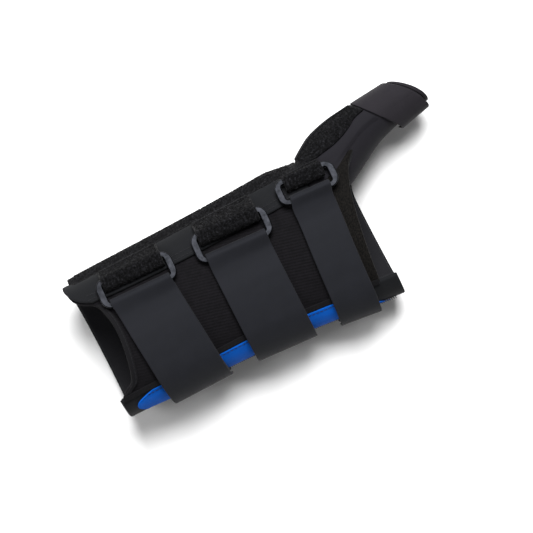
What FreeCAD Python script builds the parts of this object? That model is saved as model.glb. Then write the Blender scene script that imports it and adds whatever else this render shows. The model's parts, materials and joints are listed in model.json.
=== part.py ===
import FreeCAD, Part
import math
import os

# Wrist-and-thumb splint for a right arm, lying palm side down.
# +X runs along the forearm towards the fingers, +Y to the thumb side, +Z out of the back of the hand.
# The bottom of the flat palmar pocket is z = 0. Millimetres throughout.

V = FreeCAD.Vector

# ---------------------------------------------------------------- driving sizes
POCKET_DEPTH = 4.5          # the sleeve floats this far above the ground, over the palmar stay pocket
ROUNDNESS = 2.35            # 2 is an ellipse, larger is squarer
#            x     ulnar y  radial y  half height
SLEEVE = [(-98, -42.4, 42.7, 30.3), (-60, -42.5, 43.0, 29.4), (-20, -42.4, 43.3, 28.0),
          (20, -44.6, 44.1, 26.1), (50, -47.4, 45.3, 24.6), (75, -50.6, 46.8, 23.2), (104, -53.5, 48.0, 22.0)]
#           x      y     z    turn  half width, half height of the thumb tube
THUMB = [(64, 27.0, 27.5, 12, 16.5, 15.0), (76, 33.5, 27.0, 14, 18.0, 16.5), (86, 38.2, 26.6, 17, 18.6, 17.0),
         (98, 43.2, 26.0, 20, 17.0, 16.2), (112, 47.7, 25.5, 24, 14.4, 14.6), (127, 51.0, 25.0, 30, 13.3, 13.5),
         (146.0, 53.8, 24.4, 38.5, 13.0, 13.1)]
WALL = 1.8                  # foam laminate
LINING = 1.0                # fleece inside it
GAP = 0.3                   # air between one cloth and the next
STRAP_WIDTHS = (38.0, 38.0, 25.4)
STRAP_THICK = 1.3
RING_THICK = 1.9
RING_BAR = 3.6              # width of the ring's two long bars
RING_LEG = 4.3              # width of its two short sides
TAB_THICK = 1.3
FOLD_INNER = 2.35           # inner radius of the strap's fold round the ring bar
TAB_POCKET = 2.2            # half height of the tab's pocket round the ring's other bar
RIM_START, RIM_END = 143.3, 146.0   # the thumb tube's bound rim
STRAP_FINISH = 142.6        # the thumb strap's edge beside it
LOW_BAR_REST = 4.45         # height at which a ring's lower bar clears the strap under it
ANCHOR_END = 218.0          # where the straps are sewn down on the palmar side, in degrees round the arm
TAB_REACH = 3.1             # how far the tab's pocket lets the bar move towards the ring's opening
TAB_EDGE_Y = 41.2           # the tab's sewn edge, beside the stay pocket
PEEL_END = 186.0            # where the strap's free end lies, in degrees round the arm

#          x of middle, plan tilt, length, y of upper bar, its height, y of lower bar, its height
RINGS = [(-48.0, -2.2, 48.0, 35.1, 6.5, 20.2, 4.45), (13.4, -3.6, 48.0, 33.2, 6.5, 17.6, 4.45),
         (66.0, -3.6, 38.0, 38.4, 7.0, 25.6, 6.4)]
#          strap middle at the ring and at the ulnar side
STRAP_RUN = [(-48.0, -43.0), (12.2, 11.6), (64.4, 58.4)]

PROXIMAL_EDGE = [(-89.6, 47.5), (-89.2, 38.5), (-85.0, 31.0), (-77.0, 26.0), (-73.6, 18.0), (-72.2, 9.5),
                 (-72.9, -3.8), (-75.8, -17.7), (-79.0, -25.0), (-84.2, -28.1), (-88.0, -31.8), (-89.9, -38.3),
                 (-90.2, -47.0)]
DISTAL_EDGE = [(89.8, -53.0), (88.6, -49.3), (83.2, -46.0), (78.2, -42.0), (78.6, -34.0), (79.3, -25.5), (82.0, -7.0),
               (85.5, 11.0), (90.4, 26.2), (95.5, 34.8), (107.0, 43.8)]
FLAP_EDGE = [(-84.5, 31.6), (-77.6, 27.6), (-60.0, 26.0), (-20.6, 25.1), (20.0, 25.4), (41.7, 26.0), (66.2, 27.0)]


# ---------------------------------------------------------------- the arm-shaped surface
def smooth_row(table, x):
    """Cubic (Catmull-Rom) blend of a table of sizes along its first column."""
    last = len(table) - 1
    i = 0
    while i < last - 1 and x > table[i + 1][0]:
        i += 1
    p0, p1, p2, p3 = table[max(i - 1, 0)], table[i], table[i + 1], table[min(i + 2, last)]
    t = (x - p1[0]) / (p2[0] - p1[0])
    out = []
    for k in range(1, len(p1)):
        m1 = (p2[k] - p0[k]) / (p2[0] - p0[0]) * (p2[0] - p1[0])
        m2 = (p3[k] - p1[k]) / (p3[0] - p1[0]) * (p2[0] - p1[0])
        out.append((2 * t ** 3 - 3 * t ** 2 + 1) * p1[k] + (t ** 3 - 2 * t ** 2 + t) * m1
                   + (-2 * t ** 3 + 3 * t ** 2) * p2[k] + (t ** 3 - t ** 2) * m2)
    return out


def section(x):
    low, high, b = smooth_row(SLEEVE, x)
    return (low + high) / 2, POCKET_DEPTH + b, (high - low) / 2, b


def on_sleeve(x, angle, d):
    """A point on the sleeve: angle 0 is the thumb side, 90 the back, 180 the little-finger side."""
    yc, zc, a, b = section(x)
    c, s = math.cos(math.radians(angle)), math.sin(math.radians(angle))
    r = (abs(c / (a + d)) ** ROUNDNESS + abs(s / (b + d)) ** ROUNDNESS) ** (-1 / ROUNDNESS)
    return V(x, yc + r * c, zc + r * s)


def angle_at(x, y, d=0.0):
    """The angle of the point on the back of the sleeve that lies at y in plan."""
    yc, zc, a, b = section(x)
    c = max(-0.9999, min(0.9999, (y - yc) / (a + d)))
    z = (b + d) * (1 - abs(c) ** ROUNDNESS) ** (1 / ROUNDNESS)
    return math.degrees(math.atan2(z, y - yc))


def on_thumb(x, angle, d):
    y, z, turn, half_w, half_h = smooth_row(THUMB, x)
    t, w = math.radians(turn), math.radians(angle)
    side = (half_w + d) * math.cos(w)
    return V(x - side * math.sin(t), y + side * math.cos(t), z + (half_h + d) * math.sin(w))


def value(f, *args):
    return f(*args) if callable(f) else f


# ---------------------------------------------------------------- building blocks
def spline(points):
    curve = Part.BSplineCurve()
    curve.interpolate(points)
    return curve.toShape()


def closed(shape):
    """One right-way-out solid."""
    solid = shape.Solids[0] if shape.Solids else Part.Solid(shape.Shells[0])
    if solid.Volume < 0:
        solid.reverse()
    return solid


def ring_loft(surface, stations, d, count=28):
    wires = []
    for x in stations:
        curve = Part.BSplineCurve()
        curve.interpolate([surface(x, 360.0 * k / count, d) for k in range(count)], True)
        wires.append(Part.Wire([curve.toShape()]))
    return closed(Part.makeLoft(wires, True, False))


def spread(low, high, count):
    return [low + (high - low) * k / (count - 1.0) for k in range(count)]


def band(surface, x_range, a0, a1, d0, d1, steps=8, count=12):
    """A cloth that follows the surface, lofted along the arm; its limits may change along and across."""
    wires = []
    for x in spread(x_range[0], x_range[1], steps):
        start, end = value(a0, x), value(a1, x)
        inner = [surface(x, w, value(d0, x, w)) for w in spread(start, end, count)]
        outer = [surface(x, w, value(d1, x, w)) for w in spread(start, end, count)]
        wires.append(Part.Wire([spline(inner), Part.makeLine(inner[-1], outer[-1]),
                                spline(outer[::-1]), Part.makeLine(outer[0], inner[0])]))
    return closed(Part.makeLoft(wires, True, False))


def rectangle_loft(sections):
    """A flat tape through a list of four-cornered sections: four ruled faces and two end caps."""
    middles = [(corners[0] + corners[2]) * 0.5 for corners in sections]
    params = [0.0]
    for here, there in zip(middles, middles[1:]):
        params.append(params[-1] + here.distanceToPoint(there))
    paths = []
    for k in range(4):
        curve = Part.BSplineCurve()
        curve.interpolate(Points=[corners[k] for corners in sections], Parameters=params)
        paths.append(curve.toShape())
    faces = [Part.makeRuledSurface(paths[k], paths[(k + 1) % 4]) for k in range(4)]
    for corners in (sections[0], sections[-1]):
        faces.append(Part.makeRuledSurface(Part.makeLine(corners[0], corners[1]),
                                           Part.makeLine(corners[3], corners[2])))
    skin = Part.makeCompound(faces)
    skin.sewShape(1e-4)
    solid = Part.Solid(skin.Shells[0])
    if solid.Volume < 0:
        solid.reverse()
    return solid


def wrap(surface, angles, x0, x1, d0, d1):
    """A tape that goes round the arm, lofted round it."""
    sections = []
    for w in angles:
        xa, xb, low, high = value(x0, w), value(x1, w), value(d0, w), value(d1, w)
        sections.append([surface(xa, w, low), surface(xb, w, low), surface(xb, w, high), surface(xa, w, high)])
    return rectangle_loft(sections)


def prism(parts, z0=-20.0, z1=140.0):
    """An upright block: each part is a run of plan points, smooth if it has three or more."""
    edges = []
    runs = [[V(x, y, z0) for x, y in run] for run in parts]
    for k, run in enumerate(runs):
        if len(run) > 2:
            edges.append(spline(run))
        elif len(run) == 2:
            edges.append(Part.makeLine(run[0], run[1]))
        following = runs[(k + 1) % len(runs)]
        if run[-1].distanceToPoint(following[0]) > 1e-6:
            edges.append(Part.makeLine(run[-1], following[0]))
    return Part.Face(Part.Wire(edges)).extrude(V(0, 0, z1 - z0))


def box(x0, x1, y0, y1, z0, z1):
    return Part.makeBox(x1 - x0, y1 - y0, z1 - z0, V(x0, y0, z0))


def frame_at(origin, ex, ey):
    """The placement whose own X and Y run along ex and ey."""
    ex = V(ex).normalize()
    ez = ex.cross(ey).normalize()
    ey = ez.cross(ex)
    return FreeCAD.Placement(FreeCAD.Matrix(ex.x, ey.x, ez.x, origin.x, ex.y, ey.y, ez.y, origin.y,
                                            ex.z, ey.z, ez.z, origin.z, 0, 0, 0, 1))


PARTS = {}


def save(name, shape):
    solids = [s for s in shape.Solids if s.Volume > 1.0]
    PARTS[name] = solids
    whole = solids[0] if len(solids) == 1 else Part.makeCompound(solids)
    whole.exportStep("parts/%s.step" % name)
    print("%-22s %2d solid(s) %9.1f mm3 valid %s" % (name, len(solids), whole.Volume, whole.isValid()))


# ---------------------------------------------------------------- shared cutters
SLEEVE_STATIONS = spread(-94, 102, 12)
LOFTS = {}


def sleeve_solid(d):
    if ("s", d) not in LOFTS:
        LOFTS["s", d] = ring_loft(on_sleeve, SLEEVE_STATIONS, d)
    return LOFTS["s", d]


def thumb_solid(d):
    """The thumb tube's outside stops short of its rim, its inside runs on past the rim."""
    if ("t", d) not in LOFTS:
        end = RIM_START if d >= 0 else RIM_END + 2.0
        LOFTS["t", d] = ring_loft(on_thumb, spread(64, end, 9), d, 20)
    return LOFTS["t", d]


def side_height(x):
    return section(x)[1]


def back_cuts(edge, far_x, low_z, shift=0.0):
    """Everything beyond an edge curve, on the back of the hand only."""
    run = [(x + shift, y) for x, y in edge]
    return prism([run, [(far_x, run[-1][1]), (far_x, run[0][1])]], low_z, 140)


def arm_outline(shift=0.0):
    """What is cut off a piece of the sleeve so that it ends on the splint's edges."""
    proximal = back_cuts(PROXIMAL_EDGE, -130, side_height(-88), shift)
    distal = back_cuts(DISTAL_EDGE, 130, side_height(86) - 1, -shift)
    palm_edge = [(89 - shift, -80), (89 - shift, 8)]
    web = [(89 - shift, 8), (90 - shift, 18), (93.5 - shift, 27), (100 - shift, 35)]
    lower_front = prism([palm_edge, web, [(130, 35), (130, -80)]], -20, side_height(86) - 1.0)
    lower_back = box(-130, -89.5 + shift, -80, 80, -20, 140)
    return [proximal, distal, lower_front, lower_back]


def trimmed(shape, cutters):
    for cutter in cutters:
        shape = shape.cut(cutter)
    return shape


os.makedirs("parts", exist_ok=True)

# ---------------------------------------------------------------- the sleeve
OUTLINE = arm_outline()
PANEL_RADIAL, PANEL_ULNAR = 33.6, -31.2


def panel_ulnar_y(x):
    return PANEL_ULNAR - max(0.0, x) * 0.095


def shell_start(x):
    return angle_at(x, PANEL_RADIAL + 0.5) - 360.0


def shell_end(x):
    return angle_at(x, panel_ulnar_y(x) - 0.4) - 360.0


thumb_hole = thumb_solid(-WALL)
shell = band(on_sleeve, (-94, 100), shell_end, lambda x: shell_start(x) + 360.0, -WALL, 0, 12, 30)
shell = trimmed(shell, OUTLINE).cut(thumb_hole)
save("body_shell", shell)

lining = band(on_sleeve, (-92.5, 98), lambda x: shell_end(x) + 1.5, lambda x: shell_start(x) + 358.5,
              -WALL - GAP - LINING, -WALL - GAP, 12, 30)
lining = trimmed(lining, arm_outline(1.0)).cut(thumb_solid(-WALL - 0.2))
save("body_lining", lining)

BORDER_X = [(66.5, -44.0), (67.0, -25.0), (69.5, -7.0), (72.0, 11.0), (76.0, 27.0), (82.0, 36.0)]
panel = band(on_sleeve, (-94, 100), lambda x: angle_at(x, PANEL_RADIAL), lambda x: angle_at(x, panel_ulnar_y(x)),
             -1.5, -0.05, 12, 14)
in_front = prism([BORDER_X, [(130, 36), (130, -44)]])
save("dorsal_panel", trimmed(panel, OUTLINE[:2]).cut(in_front))
behind = prism([[(x + 0.4, y) for x, y in BORDER_X], [(-130, 36), (-130, -44)]])
border = band(on_sleeve, (60, 100), lambda x: angle_at(x, PANEL_RADIAL), lambda x: angle_at(x, panel_ulnar_y(x)),
              -1.6, 0.25, 6, 14)
save("distal_border", trimmed(border, OUTLINE[1:2]).cut(behind))

seam = band(on_sleeve, (-76, 77), lambda x: angle_at(x, panel_ulnar_y(x) + 2.2), lambda x: angle_at(x, panel_ulnar_y(x) - 0.9),
            0.55, 0.95, 10, 5)
save("dorsal_seam_tape", trimmed(seam, [OUTLINE[0], OUTLINE[1]]))

hem = band(on_sleeve, (-94, -64), lambda x: angle_at(x, 24.6), lambda x: angle_at(x, -24.0), 0.25, 0.85, 6, 14)
inner_edge = [(x + 4.0, y) for x, y in PROXIMAL_EDGE]
hem = hem.cut(OUTLINE[0]).cut(prism([inner_edge, [(60, -47), (60, 47.5)]]))
save("proximal_hem", hem)

# ---------------------------------------------------------------- thumb-side flap and stay pocket
flap = band(on_sleeve, (-92, 66), lambda x: angle_at(x, 41.0, 1.0), lambda x: angle_at(x, 24.0, 1.0),
            GAP + 0.65, GAP + 1.95, 10, 8)
flap_round = prism([[(-89.5, 48.0), (-88.9, 39.5), (-84.5, 31.6)], FLAP_EDGE, [(66.2, 60.0), (-89.5, 60.0)]])
save("radial_flap", flap.common(flap_round))


def pocket_top(x, w):
    return 2.6 + 1.7 * math.exp(-(w / 17.0) ** 4)


STAY_A, STAY_B = on_sleeve(-80, 0, 2.05), on_sleeve(40, 0, 1.75)
STAY_DIR = (STAY_B - STAY_A).normalize()


def stay_box(width, thick, start, end):
    shape = Part.makeBox(end - start, width, thick, V(start, -width / 2, -thick / 2))
    shape.Placement = frame_at(STAY_A, STAY_DIR, V(0, 0, 1))
    return shape


pocket = band(on_sleeve, (-86, 65.5), -34.0, lambda x: angle_at(x, 41.9, 1.0), GAP, pocket_top, 10, 13)
save("radial_pocket", pocket.cut(stay_box(13.8, 2.0, -30, 121.0)))
radial_stay = stay_box(13.0, 1.4, -1.0, 120.0)
save("radial_stay", radial_stay.makeFillet(5.5, [e for e in radial_stay.Edges if e.Length < 1.5]))

# ---------------------------------------------------------------- little-finger side trim
blue = band(on_sleeve, (-84, 84), lambda x: angle_at(x, panel_ulnar_y(x) - 1.6), lambda x: 176.0, GAP, GAP + 0.6, 10, 7)
leaf = [(-60.0, -30.0), (-67.0, -32.4), (-74.0, -33.6), (-79.0, -35.6), (-82.0, -38.4), (-79.0, -41.0), (-70.0, -46.0)]
leaf_front = [(80.6, -52.0), (77.0, -50.8), (71.0, -48.4), (63.0, -44.2), (56.0, -39.6), (50.0, -34.0)]
blue_shape = prism([leaf, [(-40, -60), (81, -60)], leaf_front, [(20, -20), (-40, -20)]])
save("blue_trim", blue.common(blue_shape))
overlock = band(on_sleeve, (-84, 84), 176.6, 190.0, GAP, GAP + 0.8, 10, 4)
save("ulnar_overlock", overlock)

# ---------------------------------------------------------------- rings, tabs and straps
RING_DATA = []
for number, (mid, tilt, length, y_up, up_height, y_low, low_height) in enumerate(RINGS, 1):
    half = length / 2
    slope = math.tan(math.radians(tilt))

    def bar_point(x, y, d):
        y_here = y + (x - mid) * slope
        return on_sleeve(x, angle_at(x, y_here, d), d)

    up_a, up_b = bar_point(mid - half, y_up, up_height), bar_point(mid + half, y_up, up_height)
    low = (bar_point(mid - half, y_low, low_height) + bar_point(mid + half, y_low, low_height)) * 0.5
    up = (up_a + up_b) * 0.5
    along = (up_b - up_a).normalize()
    across = low - up
    across = across - along * across.dot(along)
    depth = across.Length
    across.normalize()
    normal = across.cross(along)
    if normal.z < 0:
        normal = normal * -1
    low = up + across * depth
    RING_DATA.append((up, low, along, across, normal))
    outer_y = depth + RING_BAR
    low_rise = low_height - LOW_BAR_REST

    def plate(w, h, r, t):
        shape = Part.makeBox(w, h, t, V(-w / 2, -h / 2, -t / 2))
        return shape.makeFillet(r, [e for e in shape.Edges if abs(e.tangentAt(0).z) > 0.9])

    ring = plate(length, outer_y, 6.5, RING_THICK).cut(
        plate(length - 2 * RING_LEG, depth - RING_BAR, 1.5, RING_THICK + 2))
    ring = ring.makeFillet(0.7, ring.Edges)
    ring.Placement = frame_at((up + low) * 0.5, along, across)
    save("ring_%d" % number, ring)

    # the tab: a doubled cloth sewn down beside the stay pocket, folded round the ring's upper bar
    width = STRAP_WIDTHS[number - 1] + (0.2 if number < 3 else -0.8)
    sections = []
    for offset in (-width / 2, width / 2):
        centre = up + along * offset
        x = centre.x
        r_out = TAB_POCKET + TAB_THICK
        tip = [centre + across * (TAB_REACH + r_out * math.cos(math.radians(k))) + normal * (r_out * math.sin(math.radians(k)))
               for k in (90, 45, 0, -45, -90)]
        rest = up_height - 3.65
        under = [on_sleeve(x, w, rest) for w in spread(angle_at(x, centre.y - 2.5, rest), angle_at(x, TAB_EDGE_Y, rest), 6)]
        above = [on_sleeve(x, w, rest + 1.6)
                 for w in spread(angle_at(x, TAB_EDGE_Y, rest), angle_at(x, TAB_EDGE_Y - 2.0, rest), 2)]
        top = centre + normal * r_out - across * 0.5
        points = tip + under[1:] + above + [top]
        points = [p + along * ((centre - p).dot(along)) for p in points]
        sections.append(points)
    wires = [Part.makePolygon(points + [points[0]]) for points in sections]
    tab = closed(Part.makeLoft(wires, True, True))
    slot = Part.makeBox(90, TAB_REACH, 2 * TAB_POCKET, V(-45, 0, -TAB_POCKET))
    for y in (0, TAB_REACH):
        slot = slot.fuse(Part.makeCylinder(TAB_POCKET, 90, V(-45, y, 0), V(1, 0, 0)))
    slot.Placement = frame_at(up, along, across)
    save("ring_tab_%d" % number, tab.cut(slot))

    # the strap's under run: from just behind the ring bar, over the back, round the far side to its anchor
    half = STRAP_WIDTHS[number - 1] / 2
    near, far = STRAP_RUN[number - 1]
    first = angle_at(near, low.y - 3.9 * across.dot(V(0, -1, 0)), 1.0)

    def middle(w):
        t = max(0.0, min(1.0, (w - first) / (182.0 - first)))
        return near + (far - near) * t

    def rise(w, x=near):
        """The strap climbs over the sewn trims on the far side."""
        start = angle_at(x, panel_ulnar_y(x) + 14.0)
        t = max(0.0, min(1.0, (w - start) / 18.0))
        return t * t * (3 - 2 * t)

    def base_low(w):
        lead_in = max(0.0, 1.0 - (w - first) / 14.0)
        return GAP + 0.05 + rise(w) + 0.3 * low_rise * lead_in ** 2

    def flap_low(w):
        t = max(0.0, min(1.0, (w - first - 14.0) / 20.0))
        return base_low(w) + STRAP_THICK + GAP + t * t * (3 - 2 * t)

    base = wrap(on_sleeve, spread(first, ANCHOR_END, 16), lambda w: middle(w) - half, lambda w: middle(w) + half,
                base_low, lambda w: base_low(w) + STRAP_THICK)
    save("strap_base_%d" % number, base)

    # the strap's outer run: folded round the ring's lower bar and laid back on the under run
    rim = FOLD_INNER + STRAP_THICK
    sections = []
    for k in (-52, -75, -100, -130, -160, -190, -220, -250, -270):
        direction = across * math.cos(math.radians(k)) + normal * math.sin(math.radians(k))
        inner, outer = low + direction * FOLD_INNER, low + direction * rim
        sections.append([inner - along * half, inner + along * half, outer + along * half, outer - along * half])
    for w in spread(first + 7.0, PEEL_END, 14):
        xa, xb = middle(w) - half, middle(w) + half
        d = flap_low(w)
        fade = max(0.0, 1.0 - (w - first - 7.0) / 16.0)
        lift = fade ** 1.5 * (1.0 + 0.8 * low_rise)
        sections.append([on_sleeve(xa, w, d + lift), on_sleeve(xb, w, d + lift),
                         on_sleeve(xb, w, d + lift + STRAP_THICK), on_sleeve(xa, w, d + lift + STRAP_THICK)])
    save("strap_flap_%d" % number, rectangle_loft(sections))

    # the hook patch under the free end
    patch = wrap(on_sleeve, spread(PEEL_END - 40.0, PEEL_END - 3.0, 7), lambda w: middle(w) - half + 2.5,
                 lambda w: middle(w) + half - 2.5, lambda w: flap_low(w) - 1.0, lambda w: flap_low(w) - 0.25)
    save("hook_patch_%d" % number, patch)

    # the anchor's sewn box on the palmar side
    stitch = wrap(on_sleeve, spread(ANCHOR_END - 15.0, ANCHOR_END - 3.0, 4), lambda w: far - half + 3, lambda w: far + half - 3,
                  lambda w: base_low(w) + STRAP_THICK + 0.2, lambda w: base_low(w) + STRAP_THICK + 0.7)
    inside = wrap(on_sleeve, spread(ANCHOR_END - 13.0, ANCHOR_END - 5.0, 4), lambda w: far - half + 4.6, lambda w: far + half - 4.6,
                  lambda w: base_low(w) + STRAP_THICK - 2, lambda w: base_low(w) + STRAP_THICK + 3)
    save("anchor_stitch_%d" % number, stitch.cut(inside))

# ---------------------------------------------------------------- thumb tube
sleeve_block = trimmed(sleeve_solid(GAP), arm_outline(-0.3))
cuff = thumb_solid(0).cut(thumb_solid(-WALL)).cut(sleeve_block)
cuff = cuff.cut(box(50, 91, -20, 36, -20, 90)).cut(box(50, 66.4, -20, 90, -20, 90))
save("thumb_cuff", closed(max(cuff.Solids, key=lambda s: s.Volume)))
thumb_lining = ring_loft(on_thumb, spread(64, RIM_START, 9), -WALL - GAP, 20).cut(thumb_solid(-WALL - GAP - LINING)).cut(sleeve_block)
save("thumb_lining", closed(max(thumb_lining.Solids, key=lambda s: s.Volume)))


def hand_skin(low, high):
    """A cloth laid over both the sleeve and the root of the thumb tube."""
    outer = sleeve_solid(high).fuse(thumb_solid(high))
    return outer.cut(sleeve_solid(low)).cut(thumb_solid(low))


LOOP_EDGE = [(66.4, 41.6), (76.0, 42.6), (83.4, 43.9), (97.0, 46.0), (110.5, 48.2), (120.2, 49.0)]
LOOP_END = [(115.3, 56.2), (111.7, 60.9), (110.4, 62.6), (109.5, 66.0)]
skin = hand_skin(GAP, GAP + 1.5)
loop_area = prism([LOOP_EDGE, LOOP_EDGE[-1:] + LOOP_END, [(109.0, 90), (66.4, 90)]], 17.0, 90.0)
save("thumb_loop_strip", skin.common(loop_area))
panel_area = prism([[(66.5, 27.2), (76.0, 28.6), (86.3, 31.8)], [(96.0, 37.6), (106.5, 44.0), (110.2, 47.6)],
                    [(97.0, 45.6), (83.4, 43.5), (66.5, 41.2)]], 27.0, 90.0)
save("thumb_panel", hand_skin(GAP, GAP + 1.2).common(panel_area))

# ---------------------------------------------------------------- thumb strap and rim
def strap_start(w):
    """The slanted edge of the thumb strap, nearest the wrist on the back of the thumb."""
    return 121.0 - 3.0 * math.cos(math.radians(w))


thumb_strap = wrap(on_thumb, spread(-150.0, 150.0, 21), strap_start, STRAP_FINISH, GAP, GAP + STRAP_THICK)
save("thumb_strap", thumb_strap)

PEEL_FROM, PEEL_TO = 104.0, 206.0


def peel_low(w):
    t = max(0.0, min(1.0, (w - PEEL_FROM - 30.0) / 25.0))
    return 2 * GAP + STRAP_THICK + 0.9 * t * t * (3 - 2 * t)


thumb_end = wrap(on_thumb, spread(PEEL_FROM, PEEL_TO, 9), lambda w: strap_start(w) + 1.0, STRAP_FINISH - 0.6,
                 peel_low, lambda w: peel_low(w) + STRAP_THICK)
save("thumb_strap_end", thumb_end)
thumb_patch = wrap(on_thumb, spread(PEEL_TO - 42.0, PEEL_TO - 4.0, 5), lambda w: strap_start(w) + 3.0, STRAP_FINISH - 2.4,
                   lambda w: peel_low(w) - 0.9, lambda w: peel_low(w) - 0.2)
save("thumb_hook_patch", thumb_patch)
peel_a = on_thumb(strap_start(PEEL_FROM) + 1.0, PEEL_FROM, peel_low(PEEL_FROM) + STRAP_THICK)
peel_b = on_thumb(STRAP_FINISH - 0.6, PEEL_FROM, peel_low(PEEL_FROM) + STRAP_THICK)

rim = ring_loft(on_thumb, spread(RIM_START + GAP, RIM_END, 4), 0.25, 20)
rim = rim.cut(thumb_solid(-WALL - GAP - LINING - 0.1))
save("thumb_rim", rim)

# ---------------------------------------------------------------- palmar stay in its pocket
POCKET_X, POCKET_Y = (-80.0, 78.0), (-25.5, 25.5)
STAY_WIDTH, STAY_THICK, STAY_CLEAR = 38.0, 1.8, 0.35
STAY_X = (-76.0, 72.0)
POCKET_HEIGHT = 7.5
pocket = box(POCKET_X[0], POCKET_X[1], POCKET_Y[0], POCKET_Y[1], 0.0, POCKET_HEIGHT)
pocket = pocket.makeFillet(11.0, [e for e in pocket.Edges if abs(e.tangentAt(0).z) > 0.9])
pocket = pocket.makeFillet(1.0, [e for e in pocket.Edges if e.BoundBox.ZMax < 0.01])
pocket = pocket.cut(sleeve_solid(GAP))
middle_y = (POCKET_Y[0] + POCKET_Y[1]) / 2
half = STAY_WIDTH / 2
stay_low = 1.0 + STAY_CLEAR
mouth = box(POCKET_X[0] - 5, STAY_X[1] + STAY_CLEAR, middle_y - half - STAY_CLEAR, middle_y + half + STAY_CLEAR,
            1.0, stay_low + STAY_THICK + STAY_CLEAR)
pocket = pocket.cut(mouth)
save("palmar_pocket", closed(max(pocket.Solids, key=lambda s: s.Volume)))
stay = box(STAY_X[0], STAY_X[1], middle_y - half, middle_y + half, stay_low, stay_low + STAY_THICK)
save("palmar_stay", stay.makeFillet(9.0, [e for e in stay.Edges if abs(e.tangentAt(0).z) > 0.9]))
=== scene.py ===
# %% [markdown]
# # A wrist-and-thumb splint in soft cloth, tape and metal
#
# This file dresses a finished CAD frame of a right-hand wrist splint. The frame already holds every
# strap, ring and stay in its place and at its real size, so here we only make the cloth look like
# cloth. The lesson to take from it is how far a handful of small functions can go: one surface, one
# slab builder and one tape builder make nearly every soft piece of the splint.

# %% Load the frame
import json
import math

import bpy
import numpy as np
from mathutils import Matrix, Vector


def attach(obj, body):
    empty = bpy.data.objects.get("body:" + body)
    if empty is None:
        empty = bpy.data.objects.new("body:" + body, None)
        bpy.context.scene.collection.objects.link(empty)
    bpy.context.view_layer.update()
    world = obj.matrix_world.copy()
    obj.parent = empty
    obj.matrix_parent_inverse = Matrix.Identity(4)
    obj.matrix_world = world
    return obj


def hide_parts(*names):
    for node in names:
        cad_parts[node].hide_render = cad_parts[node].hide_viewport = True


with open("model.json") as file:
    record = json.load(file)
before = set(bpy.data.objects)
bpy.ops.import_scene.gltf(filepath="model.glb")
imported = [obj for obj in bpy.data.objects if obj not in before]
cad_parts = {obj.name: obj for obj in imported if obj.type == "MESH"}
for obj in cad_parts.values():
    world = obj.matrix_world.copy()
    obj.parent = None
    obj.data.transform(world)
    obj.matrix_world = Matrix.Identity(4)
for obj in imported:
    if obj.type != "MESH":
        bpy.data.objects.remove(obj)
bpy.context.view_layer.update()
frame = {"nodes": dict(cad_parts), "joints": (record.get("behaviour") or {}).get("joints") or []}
MM = 0.001

# %% [markdown]
# ## The arm-shaped surface
#
# The sleeve is a rounded tube round the forearm, and the thumb tube is a second one that leaves it at
# an angle. Both are written as short tables of sizes along the arm, the same ones that the CAD frame
# was drawn from. A smooth curve through each table gives the size anywhere between its rows. We work
# in millimetres and turn to metres only when a mesh is made.

# %% Sizes shared with the frame
POCKET_DEPTH = 4.5
ROUNDNESS = 2.35
#            x     ulnar y  radial y  half height
SLEEVE = [(-98, -42.4, 42.7, 30.3), (-60, -42.5, 43.0, 29.4), (-20, -42.4, 43.3, 28.0),
          (20, -44.6, 44.1, 26.1), (50, -47.4, 45.3, 24.6), (75, -50.6, 46.8, 23.2), (104, -53.5, 48.0, 22.0)]
#           x      y     z    turn  half width, half height of the thumb tube
THUMB = [(64, 27.0, 27.5, 12, 16.5, 15.0), (76, 33.5, 27.0, 14, 18.0, 16.5), (86, 38.2, 26.6, 17, 18.6, 17.0),
         (98, 43.2, 26.0, 20, 17.0, 16.2), (112, 47.7, 25.5, 24, 14.4, 14.6), (127, 51.0, 25.0, 30, 13.3, 13.5),
         (146.0, 53.8, 24.4, 38.5, 13.0, 13.1)]
WALL, LINING, GAP = 1.8, 1.0, 0.3
STRAP_WIDTHS = (38.0, 38.0, 25.4)
STRAP_THICK, TAB_THICK = 1.3, 1.3
FOLD_INNER, TAB_POCKET, TAB_REACH = 2.35, 2.2, 3.1
STRAP_RUN = [(-48.0, -43.0), (12.2, 11.6), (64.4, 58.4)]
PEEL_END, ANCHOR_END = 186.0, 218.0
LOW_BAR_REST = (4.45, 4.45, 6.4)
LOOP_REST = (2.85, 2.85, 3.35)
RIM_START, RIM_END, STRAP_FINISH = 143.3, 146.0, 142.6
PROXIMAL_EDGE = [(-89.6, 47.5), (-89.2, 38.5), (-85.0, 31.0), (-77.0, 26.0), (-73.6, 18.0), (-72.2, 9.5),
                 (-72.9, -3.8), (-75.8, -17.7), (-79.0, -25.0), (-84.2, -28.1), (-88.0, -31.8), (-89.9, -38.3),
                 (-90.2, -47.0)]
DISTAL_EDGE = [(89.8, -53.0), (88.6, -49.3), (83.2, -46.0), (78.2, -42.0), (78.6, -34.0), (79.3, -25.5), (82.0, -7.0),
               (85.5, 11.0), (90.4, 26.2), (95.5, 34.8), (107.0, 43.8)]
FLAP_EDGE = [(-92.0, 27.4), (-77.6, 27.3), (-60.0, 26.0), (-20.6, 25.1), (20.0, 25.4),
             (41.7, 26.0), (66.2, 27.0)]

# %% [markdown]
# A table of a few rows needs a curve between them. This one passes through every row and keeps its
# slope, so the sleeve shows no kinks. It works on whole arrays at once, which is what makes it quick.

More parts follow.
